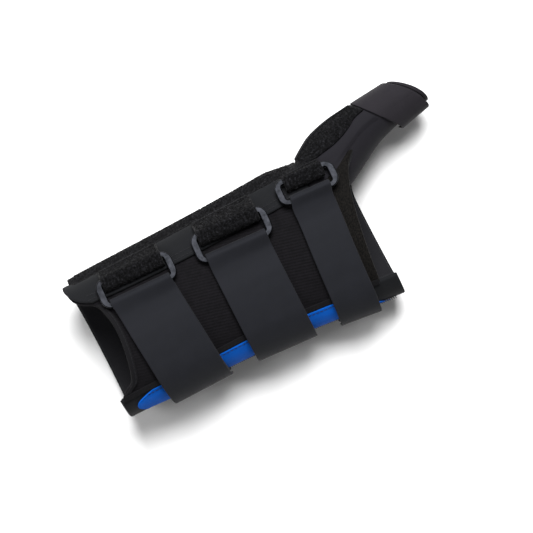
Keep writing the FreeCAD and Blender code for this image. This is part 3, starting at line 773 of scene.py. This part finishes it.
def curls(surface, half, per_mm2, margin=0.03):
    """Little loops of yarn standing on a pile cloth, set down at random."""
    grid_s, grid_t = np.meshgrid(np.linspace(0, 1, 30), np.linspace(0, 1, 30), indexing="ij")
    flat = surface(grid_s, grid_t, 0.0)
    length, across = run_lengths(flat, 0)[0], run_lengths(flat, 1)[0]
    count = int(length * across * per_mm2)
    s, t = pile_dice.uniform(margin, 1 - margin, (2, count, 1))
    heading, reach = pile_dice.uniform(0, 2 * np.pi, (count, 1)), pile_dice.uniform(0.25, 0.5, (count, 1))
    along = np.linspace(-1, 1, 5)
    ds, dt = np.cos(heading) * reach * along / length, np.sin(heading) * reach * along / across
    depth = (half(s, t) if callable(half) else half) - 0.12
    tall = pile_dice.uniform(0.35, 0.75, (count, 1))
    paths = surface(s + ds, t + dt, depth + tall * np.sqrt(np.clip(1 - along ** 2, 0, 1)))
    points, faces = threads(paths, 0.1, 3)
    # Each curl's share of the painted glint, kept as the lay's third number.
    curl_glint = np.repeat(pile_dice.uniform(-0.3, 0.55, count), 15)
    lay = np.stack([np.repeat(s.ravel() * length, 15), np.repeat(t.ravel() * across, 15), curl_glint], -1)
    return points, faces, lay


def add_pile(name, surface, half, per_mm2, step=(0.6, 0.6), **more):
    cloth = slab_mesh(surface, half, step, 0.5, pile_lumps)
    points, faces, lay = joined(cloth, curls(surface, half, per_mm2))
    return add_piece(name, points, faces, pile, lay=lay, slot="loop_pile", **more)


add_pile("thumb_side_pocket", pocket_surface, 0.5, 1.6, stands_for=["radial_pocket"])

# %% [markdown]
# ## The blue edge
#
# A strip of blue tape shows between the straps on the little-finger side. At the forearm end it comes
# to a leaf shape. Its outer edge is overcast with black thread, one loop every 1.3 mm.

# %% Blue tape and overcast edge
leaf_in = curve_through([(-90.0, -33.0), (-67.0, -32.8), (-50.0, -32.8), (0.0, -32.8), (40.0, -36.6), (50.0, -37.6),
                         (56.0, -39.8), (63.0, -44.2), (71.0, -48.4), (77.0, -50.6), (84.0, -51.6)])
leaf_out = curve_through([(-90.0, 168.0), (-74.0, 170.0), (-68.0, 174.0), (-60.0, 176.0), (84.0, 176.0)])
leaf_start_x = curve_through([(-48.0, -62.0), (-44.0, -70.0), (-42.4, -75.0), (-41.4, -78.6), (-39.8, -81.4),
                              (-38.0, -82.2), (-36.2, -80.8), (-34.8, -77.6), (-33.6, -73.2), (-32.0, -66.0)])
blue_surface = patch(lambda y, w: leaf_start_x(y)[0], always(79.0),
                     lambda x: angle_at(x, np.minimum(leaf_in(x)[0], panel_ulnar_y(x) - 1.6)),
                     lambda x: leaf_out(x)[0], 0.6)
add_slab("blue_edge_tape", blue_surface, 0.29, blue_tape, (0.8, 0.6), 0.3,
         lambda s, t, p: 0.06 * np.sin(s * 2 * np.pi / 2.1) + 0.05 * unevenness(p, 5.0, 12),
         stands_for=["blue_trim"], slot="blue_tape")


OVERCAST_START, OVERCAST_END, OVERCAST_PITCH = -66.9, 83.0, 1.3


def overcast_loops():
    for x in np.arange(OVERCAST_START, OVERCAST_END, OVERCAST_PITCH):
        angle = np.linspace(173.6, 190.5, 8)
        tall = 0.25 + 0.4 * float(ease((x - OVERCAST_START) / 12.0))
        arch = np.sin(np.linspace(0, np.pi, 8)) ** 0.5 * tall
        yield on_sleeve(x + np.linspace(-0.35, 0.35, 8), angle, 0.45 + arch)


points, faces = threads(overcast_loops(), 0.34)
add_piece("overcast_edge", points, faces, overlock_thread, stands_for=["ulnar_overlock"], slot="thread")

# %% [markdown]
# ## Straps that fold round their rings
#
# Each strap starts as an under run sewn to the palm side. It passes over the back of the hand to its
# ring, folds round the ring's lower bar, and lies back on itself. The rings' bars are the joints of
# the frame, so their places and directions are read from it.

# %% Ring frames
def unit(v):
    return v / np.linalg.norm(v)


JOINTS = {joint["name"]: joint for joint in frame["joints"]}


def joint_place(joint):
    """Where a joint turns, in mm, and which way its axis points."""
    return np.array(joint["pos_m"], float) / MM, np.array(joint["axis"], float)


def ring_frame(number):
    up, axis = joint_place(JOINTS["ring_%d_tilt" % number])
    low, _ = joint_place(JOINTS["strap_%d_peel" % number])
    along = unit(axis) * (1 if axis[0] > 0 else -1)
    across = unit((low - up) - along * ((low - up) @ along))
    normal = np.cross(across, along)
    return up, low, along, across, normal if normal[2] > 0 else -normal


# %% [markdown]
# A strap is described by a few numbers: where it starts, its half width, the line its middle follows,
# and how high its two runs lie over the sleeve. A crossing is one four-cornered slice through it.

# %% Strap runs
def strap_numbers(number):
    up, low, along, across, normal = ring_frame(number)
    low_height = LOW_BAR_REST[number - 1]
    near, far = STRAP_RUN[number - 1]
    first = float(angle_at(np.array(near), low[1] + 3.9 * across[1], 1.0))
    half = STRAP_WIDTHS[number - 1] / 2
    climb = float(angle_at(np.array(near), panel_ulnar_y(near) + 14.0))

    def middle(w):
        return near + (far - near) * min(1.0, max(0.0, (w - first) / (182.0 - first)))

    def base_low(w):
        lead_in = max(0.0, 1.0 - (w - first) / 14.0)
        return GAP + 0.05 + float(ease((w - climb) / 18.0)) + 0.3 * (low_height - LOW_BAR_REST[0]) * lead_in ** 2

    def flap_low(w):
        return base_low(w) + STRAP_THICK + GAP + float(ease((w - first - 14.0) / 20.0))

    return first, half, middle, base_low, flap_low, low_height

# %% [markdown]
# The peeling ends are held by hook tape: rows of tiny bent plastic hooks on a thin backing. They only
# show when a strap is open, but then they are what the eye looks for.

# %% Slices, wear and hook tape
def crossing(surface, w, x0, x1, d0, d1):
    return [surface(np.array(float(x)), w, d) for x, d in ((x0, d0), (x1, d0), (x1, d1), (x0, d1))]


def strap_wear(s_mm, t_mm, points):
    return 0.09 * unevenness(points, 14.0, 13) + 0.05 * unevenness(points, 3.0, 14)


hook_dice = np.random.default_rng(11)


def hook_field(sections, lift, pitch=1.0):
    """Tiny bent hooks standing on the skin side of a patch."""
    surface = tape_surface(sections)
    corners = np.array(sections, float)
    length = np.sum(np.linalg.norm(np.diff((corners[:, 0] + corners[:, 2]) / 2, axis=0), axis=1))
    width = np.linalg.norm(corners[0, 1] - corners[0, 0])
    for i in range(int(length / pitch)):
        for k in range(int(width / pitch)):
            s = np.array((i + 0.5) * pitch / length)
            t = np.array(min(0.98, (k + 0.5 + 0.2 * hook_dice.uniform(-1, 1)) * pitch / width))
            foot, tip = surface(s, t, -0.1), surface(s, t, -lift)
            bend = surface(np.minimum(s + 0.35 / length, 1.0), t, -lift + 0.12)
            yield np.array([foot, (foot + tip) / 2, tip, bend])


def add_hook_tape(name, sections, step, lift, **more):
    """A thin backing tape and the hooks that stand on it, as one piece."""
    hook_points, hook_faces = threads(hook_field(sections, lift), 0.09, 4)
    backing = slab_mesh(tape_surface(sections), 0.22, (step, step), 0.25)
    points, faces, lay = joined(backing, (hook_points, hook_faces, hook_points))
    return add_piece(name, points, faces, hooks, lay=lay, slot="hook", **more)


# %% [markdown]
# The under run is a plain tape. The outer run starts on the inside of the fold, goes nearly once round
# the lower bar and then lies on the under run. It rides on its own body, because its end peels off.
# Each strap is sewn down on the palm side with a crossed box of stitches.

# %% Under runs, outer runs and anchors
for number in (1, 2, 3):
    up, low, along, across, normal = ring_frame(number)
    first, half, middle, base_low, flap_low, low_height = strap_numbers(number)
    under = []
    for w in np.linspace(first, ANCHOR_END, 16):
        under.append(crossing(on_sleeve, w, middle(w) - half, middle(w) + half, base_low(w), base_low(w) + STRAP_THICK))
    add_slab("strap_under_%d" % number, tape_surface(under), STRAP_THICK / 2 - 0.03, strap_cloth, (1.2, 1.2), 0.6,
             lambda s, t, p: 0.03 * unevenness(p, 3.0, 14), stands_for=["strap_base_%d" % number], slot="strap_cloth")

    outer = []
    for k in np.radians((-52, -75, -100, -130, -160, -190, -220, -250, -270)):
        way = across * np.cos(k) + normal * np.sin(k)
        inner_spot, outer_spot = low + way * FOLD_INNER, low + way * (FOLD_INNER + STRAP_THICK)
        outer.append([inner_spot - along * half, inner_spot + along * half,
                      outer_spot + along * half, outer_spot - along * half])
    for w in np.linspace(first + 7.0, PEEL_END, 14):
        fade = max(0.0, 1.0 - (w - first - 7.0) / 16.0)
        d = flap_low(w) + fade ** 1.5 * (1.0 + 0.8 * (low_height - LOW_BAR_REST[0]))
        outer.append(crossing(on_sleeve, w, middle(w) - half, middle(w) + half, d, d + STRAP_THICK))
    add_slab("strap_outer_%d" % number, tape_surface(outer), STRAP_THICK / 2 - 0.03, strap_cloth, (0.9, 1.0), 0.62,
             strap_wear, body="strap_%d" % number, stands_for=["strap_flap_%d" % number], slot="strap_cloth")

    hook = []
    for w in np.linspace(PEEL_END - 40.0, PEEL_END - 3.0, 7):
        hook.append(crossing(on_sleeve, w, middle(w) - half + 2.5, middle(w) + half - 2.5,
                             flap_low(w) - 0.75, flap_low(w) - 0.27))
    add_hook_tape("hook_tape_%d" % number, hook, 2.0, 0.45, body="strap_%d" % number,
                  stands_for=["hook_patch_%d" % number])

    far = STRAP_RUN[number - 1][1]
    top = base_low(210.0) + STRAP_THICK + 0.28
    corners = [(far - half + 3.8, ANCHOR_END - 14.0), (far + half - 3.8, ANCHOR_END - 14.0),
               (far + half - 3.8, ANCHOR_END - 4.0), (far - half + 3.8, ANCHOR_END - 4.0)]
    loop = corners + corners[:1] + [corners[2]] + [corners[1], corners[3]]
    paths = []
    for (xa, wa), (xb, wb) in zip(loop, loop[1:]):
        span = math.hypot(xb - xa, (wb - wa) * 0.7)
        for i in range(int(span / 2.6)):
            t = (np.linspace(0.1, 0.8, 5) + i) * 2.6 / span
            rise = np.sin(np.linspace(0, np.pi, 5)) * 0.3
            paths.append(on_sleeve(xa + (xb - xa) * t, wa + (wb - wa) * t, top + rise - 0.15))
    points, faces = threads(paths, 0.24)
    add_piece("anchor_box_stitch_%d" % number, points, faces, black_thread,
              stands_for=["anchor_stitch_%d" % number], slot="thread")

# %% [markdown]
# ## Ring loops
#
# Each ring hangs in a doubled loop of pile cloth. We follow the cloth from the sewn edge over the
# upper bar and back underneath. The loop leaves the bar free to turn inside it.

# %% Doubled loops round the upper bars
for number in (1, 2, 3):
    up, low, along, across, normal = ring_frame(number)
    width = STRAP_WIDTHS[number - 1] + (0.2 if number < 3 else -0.8)
    rest = LOOP_REST[number - 1]
    stations = []
    for offset in np.linspace(-width / 2, width / 2, 7):
        centre = up + along * offset
        x = np.array(centre[0])
        mid_r = TAB_POCKET + TAB_THICK / 2
        edge = float(angle_at(x, 41.2, rest))
        inward = float(angle_at(x, 39.2, rest))
        beside = float(angle_at(x, centre[1] - 1.0, rest))
        path = [(on_sleeve(x, edge, rest + 1.15), 0.4), (on_sleeve(x, inward, rest + 1.35), 0.5),
                (centre - across * 1.0 + normal * mid_r, 0.62)]
        path += [(centre + across * (TAB_REACH + mid_r * math.cos(math.radians(k)))
                  + normal * mid_r * math.sin(math.radians(k)), 0.62) for k in (90, 60, 30, 0, -30, -60, -90)]
        path += [(on_sleeve(x, beside, rest + 0.64), 0.6), (on_sleeve(x, inward, rest + 0.5), 0.42),
                 (on_sleeve(x, edge, rest + 0.4), 0.36)]
        stations.append([np.append(spot + along * ((centre - spot) @ along), thick) for spot, thick in path])
    stations = np.array(stations)
    place = np.concatenate([[0], np.cumsum(np.linalg.norm(np.diff(stations[3, :, :3], axis=0), axis=1))])
    loop_curve = curve_through([(p, *stations[:, i].ravel()) for i, p in enumerate(place)])

    def loop_surface(s, t, off, curve=loop_curve, total=place[-1], count=len(stations), along=along):
        def at(s):
            rows = np.stack(curve(np.clip(s, 0, 1) * total), -1).reshape(s.shape + (count, 4))
            spot = t * (count - 1)
            i = np.clip(spot.astype(int), 0, count - 2) if np.ndim(spot) else np.array(min(int(spot), count - 2))
            f = (spot - i)[..., None]
            lower = np.take_along_axis(rows, np.broadcast_to(i[..., None, None], i.shape + (1, 4)), -2)[..., 0, :]
            upper = np.take_along_axis(rows, np.broadcast_to(i[..., None, None] + 1, i.shape + (1, 4)), -2)[..., 0, :]
            return lower * (1 - f) + upper * f
        here = at(s)
        ahead = at(s + 0.004)[..., :3] - at(s - 0.004)[..., :3]
        out = np.cross(ahead, along)
        out /= np.linalg.norm(out, axis=-1, keepdims=True) + 1e-12
        return here[..., :3] + out * (np.asarray(off)[..., None])

    def loop_half(s, t, curve=loop_curve, total=place[-1], count=len(stations)):
        rows = np.stack(curve(s * total), -1).reshape(s.shape + (count, 4))
        return rows[..., count // 2, 3]

    add_pile("ring_loop_%d" % number, loop_surface, loop_half, 2.0, (0.45, 0.55), stands_for=["ring_tab_%d" % number])

# %% [markdown]
# ## Where thumb and hand meet
#
# Some cloths lie over both the sleeve and the root of the thumb tube. From the middle of the tube we
# look outwards: the farther of the two surfaces is the one that the cloth lies on, and a soft blend
# between them gives the cloth its curve over the web.

# %% The joined surface
def on_root(u, w, d):
    """A point over thumb and hand together: u is the place along the thumb, w the angle round it."""
    u, w = np.broadcast_arrays(np.asarray(u, float), np.asarray(w, float))
    y, z, turn, half_w, half_h = thumb_row(u)
    lean = np.radians(turn)
    c, s = np.cos(np.radians(w)), np.sin(np.radians(w))
    thumb_r = 1 / np.sqrt((c / (half_w + d)) ** 2 + (s / (half_h + d)) ** 2)
    low, high = np.zeros_like(u), np.full_like(u, 80.0)
    for _ in range(26):
        middle = (low + high) / 2
        px, py, pz = u - middle * c * np.sin(lean), y + middle * c * np.cos(lean), z + middle * s
        yc, zc, a, b = sleeve_section(np.minimum(px, 102.0))
        reach = np.abs((py - yc) / (a + d)) ** ROUNDNESS + np.abs((pz - zc) / (b + d)) ** ROUNDNESS
        inside = (reach < 1) & (px < 102.0)
        low, high = np.where(inside, middle, low), np.where(inside, high, middle)
    gap = low - thumb_r
    soft = 1.2
    r = np.where(np.abs(gap) < 30, (low + thumb_r + np.sqrt(gap ** 2 + soft ** 2)) / 2 - 0.25, np.maximum(low, thumb_r))
    r = np.maximum(r, np.maximum(low, thumb_r))
    return np.stack([u - r * c * np.sin(lean), y + r * c * np.cos(lean), z + r * s], -1)

# %% [markdown]
# A patch over this joined surface is bounded by four tests that are 0 on its edges, such as a height or
# a line in plan. We walk round the thumb and take the angle where each test changes sign.

# %% Patches over thumb and hand
def root_patch(upper, lower, x_start, x_end, d, last=(False, False), u_range=(62.0, 130.0)):
    """Cloth between two limits round the thumb and two limits along it, each a test that is 0 on the limit."""
    u = np.linspace(*u_range, 120)

    def solve(limit, last):
        """The first or last angle, going round from the back of the hand, at which the limit's sign changes."""
        w = np.linspace(150.0, -85.0, 420)
        grid_u, grid_w = np.meshgrid(u, w, indexing="ij")
        values = limit(on_root(grid_u, grid_w, 1.0))
        changed = np.diff(np.sign(values), axis=1) != 0
        place = len(w) - 2 - changed[:, ::-1].argmax(1) if last else changed.argmax(1)
        k = np.where(changed.any(1), place, len(w) - 2)
        rows = np.arange(len(u))
        before, after = values[rows, k], values[rows, k + 1]
        return w[k] + (w[k + 1] - w[k]) * np.clip(before / (before - after + 1e-12), 0, 1)

    w_upper, w_lower = solve(upper, last[0]), solve(lower, last[1])
    t = np.linspace(0, 1, 60)
    grid_u, grid_t = np.meshgrid(u, t, indexing="ij")
    w = w_upper[:, None] * (1 - grid_t) + w_lower[:, None] * grid_t
    spots = on_root(grid_u, w, 1.0)
    starts = np.array([np.interp(0, x_start(spots[:, k]), u) for k in range(len(t))])
    ends = np.array([np.interp(0, x_end(spots[:, k]), u) for k in range(len(t))])

    def surface(s, t_here, off):
        u_here = np.interp(t_here, t, starts) * (1 - s) + np.interp(t_here, t, ends) * s
        w_here = np.interp(u_here, u, w_upper) * (1 - t_here) + np.interp(u_here, u, w_lower) * t_here
        return on_root(u_here, w_here, (d(s, t_here) if callable(d) else d) + off)
    return surface

# %% [markdown]
# A strip of pile runs on from the pocket to the thumb, for the band to grip. A smooth panel beside it
# bridges the web between hand and thumb, thinned to a feather where it meets the tube.

# %% Pile strip and web panel
pile_edge_y = curve_through([(66.4, 41.6), (76.0, 42.6), (83.4, 43.9), (91.0, 45.3), (98.0, 47.6), (104.0, 50.6),
                             (108.5, 53.4), (114.0, 55.0), (122.0, 56.2), (132.0, 57.4)])
pile_end_x = curve_through([(44.0, 123.6), (49.0, 120.2), (56.2, 115.3), (60.9, 111.7), (62.6, 110.4), (70.0, 106.0)])
strip_surface = root_patch(lambda p: p[..., 1] - pile_edge_y(p[..., 0])[0],
                           lambda p: p[..., 2] - 33.0 + 3.5 * ease((p[..., 0] - 76.0) / 34.0),
                           lambda p: p[..., 0] - 66.6, lambda p: p[..., 0] - pile_end_x(p[..., 1])[0], 1.0,
                           (False, True))
add_pile("thumb_pile_strip", strip_surface, 0.6, 2.0, stands_for=["thumb_loop_strip"])
web_low_y = curve_through([(60.0, 26.8), (66.5, 27.2), (76.0, 28.6), (86.3, 31.8), (96.0, 37.6), (106.5, 43.0),
                           (114.0, 45.4), (122.0, 46.6), (132.0, 47.4)])


def web_half(s, t):
    """Thinned to a feather at its lower edge, where it runs into the tube."""
    return 0.06 + 0.48 * ease(t / 0.3)


web_surface = root_patch(lambda p: p[..., 1] - web_low_y(p[..., 0])[0],
                         lambda p: p[..., 1] - pile_edge_y(p[..., 0])[0] + 0.45,
                         lambda p: p[..., 0] - 66.6, lambda p: p[..., 0] - pile_end_x(p[..., 1])[0],
                         lambda s, t: 0.24 + web_half(s, t))
add_slab("thumb_web_panel", web_surface, web_half, panel_cloth, (0.9, 0.7), 0.5,
         lambda s, t, p: 0.1 * unevenness(p, 11.0, 15), stands_for=["thumb_panel"], slot="laminate")


# %% [markdown]
# A knitted binding closes the edge of the pile strip. It starts on top of the pile and steps down to
# the cloth beside it, with fine lines along its length.

# %% Bound edge beside the pile strip
def binding_lines(s_mm, t_mm, points):
    return 0.1 * np.cos(t_mm * 2 * np.pi / 0.95) + 0.04 * np.sin(s_mm * 2 * np.pi / 1.2)


binding_surface = root_patch(lambda p: p[..., 2] - 35.5 + 3.5 * ease((p[..., 0] - 76.0) / 34.0),
                             lambda p: p[..., 2] - 17.2, lambda p: p[..., 0] - 66.6,
                             lambda p: p[..., 0] - pile_end_x(p[..., 1])[0] + 1.0,
                             lambda s, t: 0.75 + 1.35 * (1 - ease(t / 0.4)), (True, True))
add_slab("thumb_edge_binding", binding_surface, 0.42, hem_cloth, (0.5, 0.25), 0.4, binding_lines, slot="knit_elastic")


# %% [markdown]
# The thumb tube comes out of the sleeve, so each of its lines starts where it leaves the sleeve. Its
# mouth reaches a little farther on the back of the thumb. A soft rim binds it.

# %% Thumb tube, its lining and rim
def mouth(w):
    """How much farther the tube and its band reach on the back of the thumb than round its sides."""
    return 3.0 * np.maximum(0.0, np.sin(np.radians(w))) ** 1.3


def tube_mesh(start, end, d, half, step=(1.0, 1.4), relief=None, rim=0.4):
    def surface(s, t, off):
        w = -150.0 + 360.0 * t
        return on_thumb(start(w) * (1 - s) + (end(w) + mouth(w)) * s, w, d + off)
    return slab_mesh(surface, half, step, rim, relief)


def leaves_sleeve(w):
    """Where along the thumb each line of the tube comes out of the sleeve."""
    u = np.linspace(64.0, 125.0, 400)
    grid_u, grid_w = np.meshgrid(u, np.linspace(-150.0, 210.0, 73), indexing="ij")
    p = on_thumb(grid_u, grid_w, 0.0)
    yc, zc, a, b = sleeve_section(p[..., 0])
    a, b = a + GAP, b + GAP
    inside = np.abs((p[..., 1] - yc) / a) ** ROUNDNESS + np.abs((p[..., 2] - zc) / b) ** ROUNDNESS < 1
    back_end = np.minimum(distal_x(p[..., 1])[0], 104.0)
    palm_end = np.minimum(web_x(p[..., 1])[0], 101.0)
    inside &= p[..., 0] < np.where(p[..., 2] > zc, back_end, palm_end)
    last = np.array([u[np.flatnonzero(column)[-1]] if column.any() else 66.4 for column in inside.T])
    last = np.maximum(last, 66.6)
    soft = np.convolve(np.concatenate([last[-4:-1], last, last[1:4]]), [0.1, 0.2, 0.4, 0.2, 0.1], "same")[3:-3]
    return np.interp(w, np.linspace(-150.0, 210.0, 73), np.maximum(soft, last) + 0.3)

# %% [markdown]
# Three pieces make the tube: the outer cloth, its soft lining just inside it, and the rim.

# %% The tube's three pieces
points, faces, lay = tube_mesh(leaves_sleeve, always(RIM_START), -WALL / 2, WALL / 2 - 0.02,
                               relief=lambda s, t, p: 0.1 * unevenness(p, 9.0, 16))
thumb_tube = add_piece("thumb_tube", points, faces, panel_cloth, stands_for=["thumb_cuff"], lay=lay, slot="laminate")
points, faces, lay = tube_mesh(lambda w: leaves_sleeve(w) + 0.5, always(RIM_START - 0.2), -WALL - GAP - LINING / 2,
                               LINING / 2 - 0.02, (2.0, 2.0))
add_piece("thumb_tube_lining", points, faces, fleece, stands_for=["thumb_lining"], lay=lay, slot="fleece")
points, faces, lay = tube_mesh(lambda w: RIM_START + 0.05 + mouth(w), always(RIM_END), -1.35, 1.45, (0.5, 1.0),
                               lambda s, t, p: 0.05 * np.sin(t * 2 * np.pi / 1.8), 0.6)
add_piece("thumb_rim_binding", points, faces, thumb_cloth, stands_for=["thumb_rim"], lay=lay, slot="knit_elastic")


# %% [markdown]
# A wide band goes round the tube. Its free end overlaps it on the web side, pared thin at its sewn
# edge and held by a hook patch, and peels off on a body of its own.

# %% Thumb band
def band_start(w):
    return 121.0 - 3.0 * math.cos(math.radians(w))


def peel_low(w):
    return 2 * GAP + STRAP_THICK - 0.1 + float(ease((w - 134.0) / 25.0))


def skived(w):
    """The free end's sewn edge is pared thin, so that it hardly shows on the band."""
    return 0.2 + (STRAP_THICK - 0.2) * float(ease((w - 104.0) / 40.0))


band_sections = [crossing(on_thumb, w, band_start(w), STRAP_FINISH + mouth(w), GAP, GAP + STRAP_THICK)
                 for w in np.linspace(-150.0, 150.0, 21)]
add_slab("thumb_band", tape_surface(band_sections), STRAP_THICK / 2 - 0.02, thumb_cloth, (0.9, 0.8), 0.6,
         strap_wear, stands_for=["thumb_strap"], slot="strap_cloth")
end_sections = [crossing(on_thumb, w, band_start(w) + 0.4, STRAP_FINISH - 0.2 + mouth(w), peel_low(w),
                         peel_low(w) + skived(w)) for w in np.linspace(104.0, 206.0, 13)]


def skived_half(s, t):
    return (0.2 + (STRAP_THICK - 0.2) * ease(s * 102.0 / 40.0)) / 2 - 0.03


add_slab("thumb_band_end", tape_surface(end_sections), skived_half, thumb_cloth, (0.9, 0.8), 0.6,
         lambda s, t, p: strap_wear(s, t, p) * ease(s / 12.0), body="thumb_strap_end",
         stands_for=["thumb_strap_end"], slot="strap_cloth")
patch_sections = [crossing(on_thumb, w, band_start(w) + 3.0, STRAP_FINISH - 2.4, peel_low(w) - 0.85, peel_low(w) - 0.25)
                  for w in np.linspace(164.0, 202.0, 5)]
add_hook_tape("thumb_hook_tape", patch_sections, 1.5, 0.4, body="thumb_strap_end", stands_for=["thumb_hook_patch"])

# %% [markdown]
# ## The palm pocket
#
# The wide stay slides in a flat pocket under the palm. Its cover is a shallow dish that is open at
# the forearm end. Its flat bottom is what the splint rests on.

# %% Palm pocket
POCKET_X, POCKET_HALF, CORNER, COVER = (-80.0, 78.0), 25.5, 11.0, 0.98


def dish(s, t, off):
    x = POCKET_X[0] + (POCKET_X[1] - POCKET_X[0]) * s
    from_end = np.clip(CORNER - (POCKET_X[1] - x), 0, CORNER)
    half_y = POCKET_HALF - CORNER + np.sqrt(CORNER ** 2 - from_end ** 2) - 0.5
    y = half_y * (2 * t - 1)
    inside = np.minimum(half_y - np.abs(y), (POCKET_X[1] - x) * 0.9)
    yc, zc, a, b = sleeve_section(x)
    rim_z = zc - (b + GAP) * (1 - np.clip(np.abs((y - yc) / (a + GAP)), 0, 0.98) ** ROUNDNESS) ** (1 / ROUNDNESS)
    curl = 1 - np.clip(inside / 3.6, 0, 1)
    rise = 1 - np.sqrt(1 - np.minimum(curl, 0.999) ** 2)
    z = COVER / 2 + (rim_z - COVER / 2 - 0.9) * rise
    return np.stack(np.broadcast_arrays(x, y, z - np.asarray(off)), -1)


add_slab("palm_pocket", dish, COVER / 2, laminate, (1.5, 0.8), 0.5, stands_for=["palmar_pocket"], slot="laminate")

# %% [markdown]
# ## Rows of stitches
#
# Each seam gets its stitches as short threads that dip into the cloth at both ends. A row only needs
# a function from a length along the seam to a place on the cloth.

# %% Stitch rows
def stitch_row(name, place, length, pitch=2.6, radius=0.17, rise=0.22):
    """place(mm, lift) gives a point of the seam."""
    starts = np.arange(0.3, length - pitch, pitch)[:, None]
    along = np.linspace(0, 0.78, 6) * pitch
    lift = np.sin(np.linspace(0, np.pi, 6)) * rise
    points, faces = threads(place(starts + along, lift - 0.08), radius)
    return add_piece(name, points, faces, black_thread, slot="thread")

# %% [markdown]
# The seams themselves: two rows on the flap, one along the blue tape, one at the border, one at the
# hem, and one across the sewn edge of each ring loop.

# %% The seams
def flap_seam(inset):
    def place(mm, lift):
        x = -79.0 + mm
        return on_sleeve(x, angle_at(x, flap_low_y(x)[0] + inset, 1.0), 2.24 + lift)
    return place


stitch_row("flap_stitching", flap_seam(1.5), 144.0)
stitch_row("flap_second_stitching", flap_seam(4.2), 144.0)


def blue_seam(mm, lift):
    x = -74.0 + mm
    return on_sleeve(x, angle_at(x, leaf_in(x)[0] - 1.1), 0.92 + lift)


def border_seam(mm, lift):
    y = 34.0 - mm
    x = panel_border_x(y)[0] + 1.6
    return on_sleeve(x, angle_at(x, y), 0.32 + lift)


def hem_seam(mm, lift):
    y = 24.0 - mm
    x = proximal_x(y)[0] + 2.6
    return on_sleeve(x, angle_at(x, y), 0.9 + lift)


stitch_row("blue_inner_stitching", blue_seam, 142.0)
stitch_row("border_stitching", border_seam, 70.0)
stitch_row("hem_stitching", hem_seam, 51.5)
for number in (1, 2, 3):
    up, low, along, across, normal = ring_frame(number)
    width = STRAP_WIDTHS[number - 1] - 2.0
    rest = LOOP_REST[number - 1]

    def sewn_edge(mm, lift, up=up, along=along, width=width, rest=rest):
        centre_x = up[0] + along[0] * (mm - width / 2)
        return on_sleeve(centre_x, angle_at(centre_x, 40.2, rest), rest + 1.95 + lift)

    stitch_row("ring_loop_stitching_%d" % number, sewn_edge, width)

# %% [markdown]
# ## Metal parts
#
# The rings and stays already have the right shape in the CAD frame. They only need better materials.

# %% Materials for the metal nodes
for name in ("ring_1", "ring_2", "ring_3"):
    node = frame["nodes"][name]
    node.data.materials.clear()
    node.data.materials.append(gunmetal)
for name in ("radial_stay", "palmar_stay"):
    node = frame["nodes"][name]
    node.data.materials.clear()
    node.data.materials.append(stay_metal)

# %% [markdown]
# The sleeve and the thumb tube are thin foam laminate.

# %% [markdown]
# ## Light, floor and camera
#
# A plain pale floor catches a soft shadow. It is staged, because it isn't part of the splint.

# %% Studio
floor_mesh = bpy.data.meshes.new("studio_floor")
floor_mesh.from_pydata([(-3, -3, -0.0006), (3, -3, -0.0006), (3, 3, -0.0006), (-3, 3, -0.0006)], [], [(0, 1, 2, 3)])
floor = bpy.data.objects.new("studio_floor", floor_mesh)
bpy.context.scene.collection.objects.link(floor)
paper = Recipe("studio paper")
spot = paper.place(1.0)
paper_tone = paper.mix(paper.noise(spot, 3.0), (0.93, 0.93, 0.93), (0.96, 0.96, 0.96))
floor_mesh.materials.append(paper.finish(Base_Color=paper_tone, Roughness=0.9))

# %% [markdown]
# Soft light from above shows the folds, and a weak one from the forearm side lifts the shadows. The
# camera looks straight down on the back of the hand.

# %% Lights and camera
world = bpy.data.worlds.new("studio")
bpy.context.scene.world = world
world.use_nodes = True
world.node_tree.nodes["Background"].inputs[0].default_value = (1, 1, 1, 1)
world.node_tree.nodes["Background"].inputs[1].default_value = 0.2


def soft_light(name, spot, size, power, aim=(0.02, 0.0, 0.03)):
    data = bpy.data.lights.new(name, "AREA")
    data.size, data.energy = size, power
    lamp = bpy.data.objects.new(name, data)
    lamp.location = spot
    lamp.rotation_euler = (Vector(aim) - Vector(spot)).to_track_quat("-Z", "Y").to_euler()
    bpy.context.scene.collection.objects.link(lamp)


soft_light("top_softbox", (0.42, 0.86, 1.7), 0.9, 66)
soft_light("side_softbox", (-0.9, 0.3, 1.3), 0.5, 6)

camera_data = bpy.data.cameras.new("camera")
DISTANCE, FIELD = 1.4, 0.3135
camera_data.sensor_width = 36.0
camera_data.lens = 36.0 * DISTANCE / FIELD
camera = bpy.data.objects.new("camera", camera_data)
camera.location = (0.0225, -0.0003, 0.045 + DISTANCE)
camera.rotation_euler = (0, 0, math.radians(-27.5))
bpy.context.scene.collection.objects.link(camera)
bpy.context.scene.camera = camera
bpy.context.scene.view_settings.view_transform = "Standard"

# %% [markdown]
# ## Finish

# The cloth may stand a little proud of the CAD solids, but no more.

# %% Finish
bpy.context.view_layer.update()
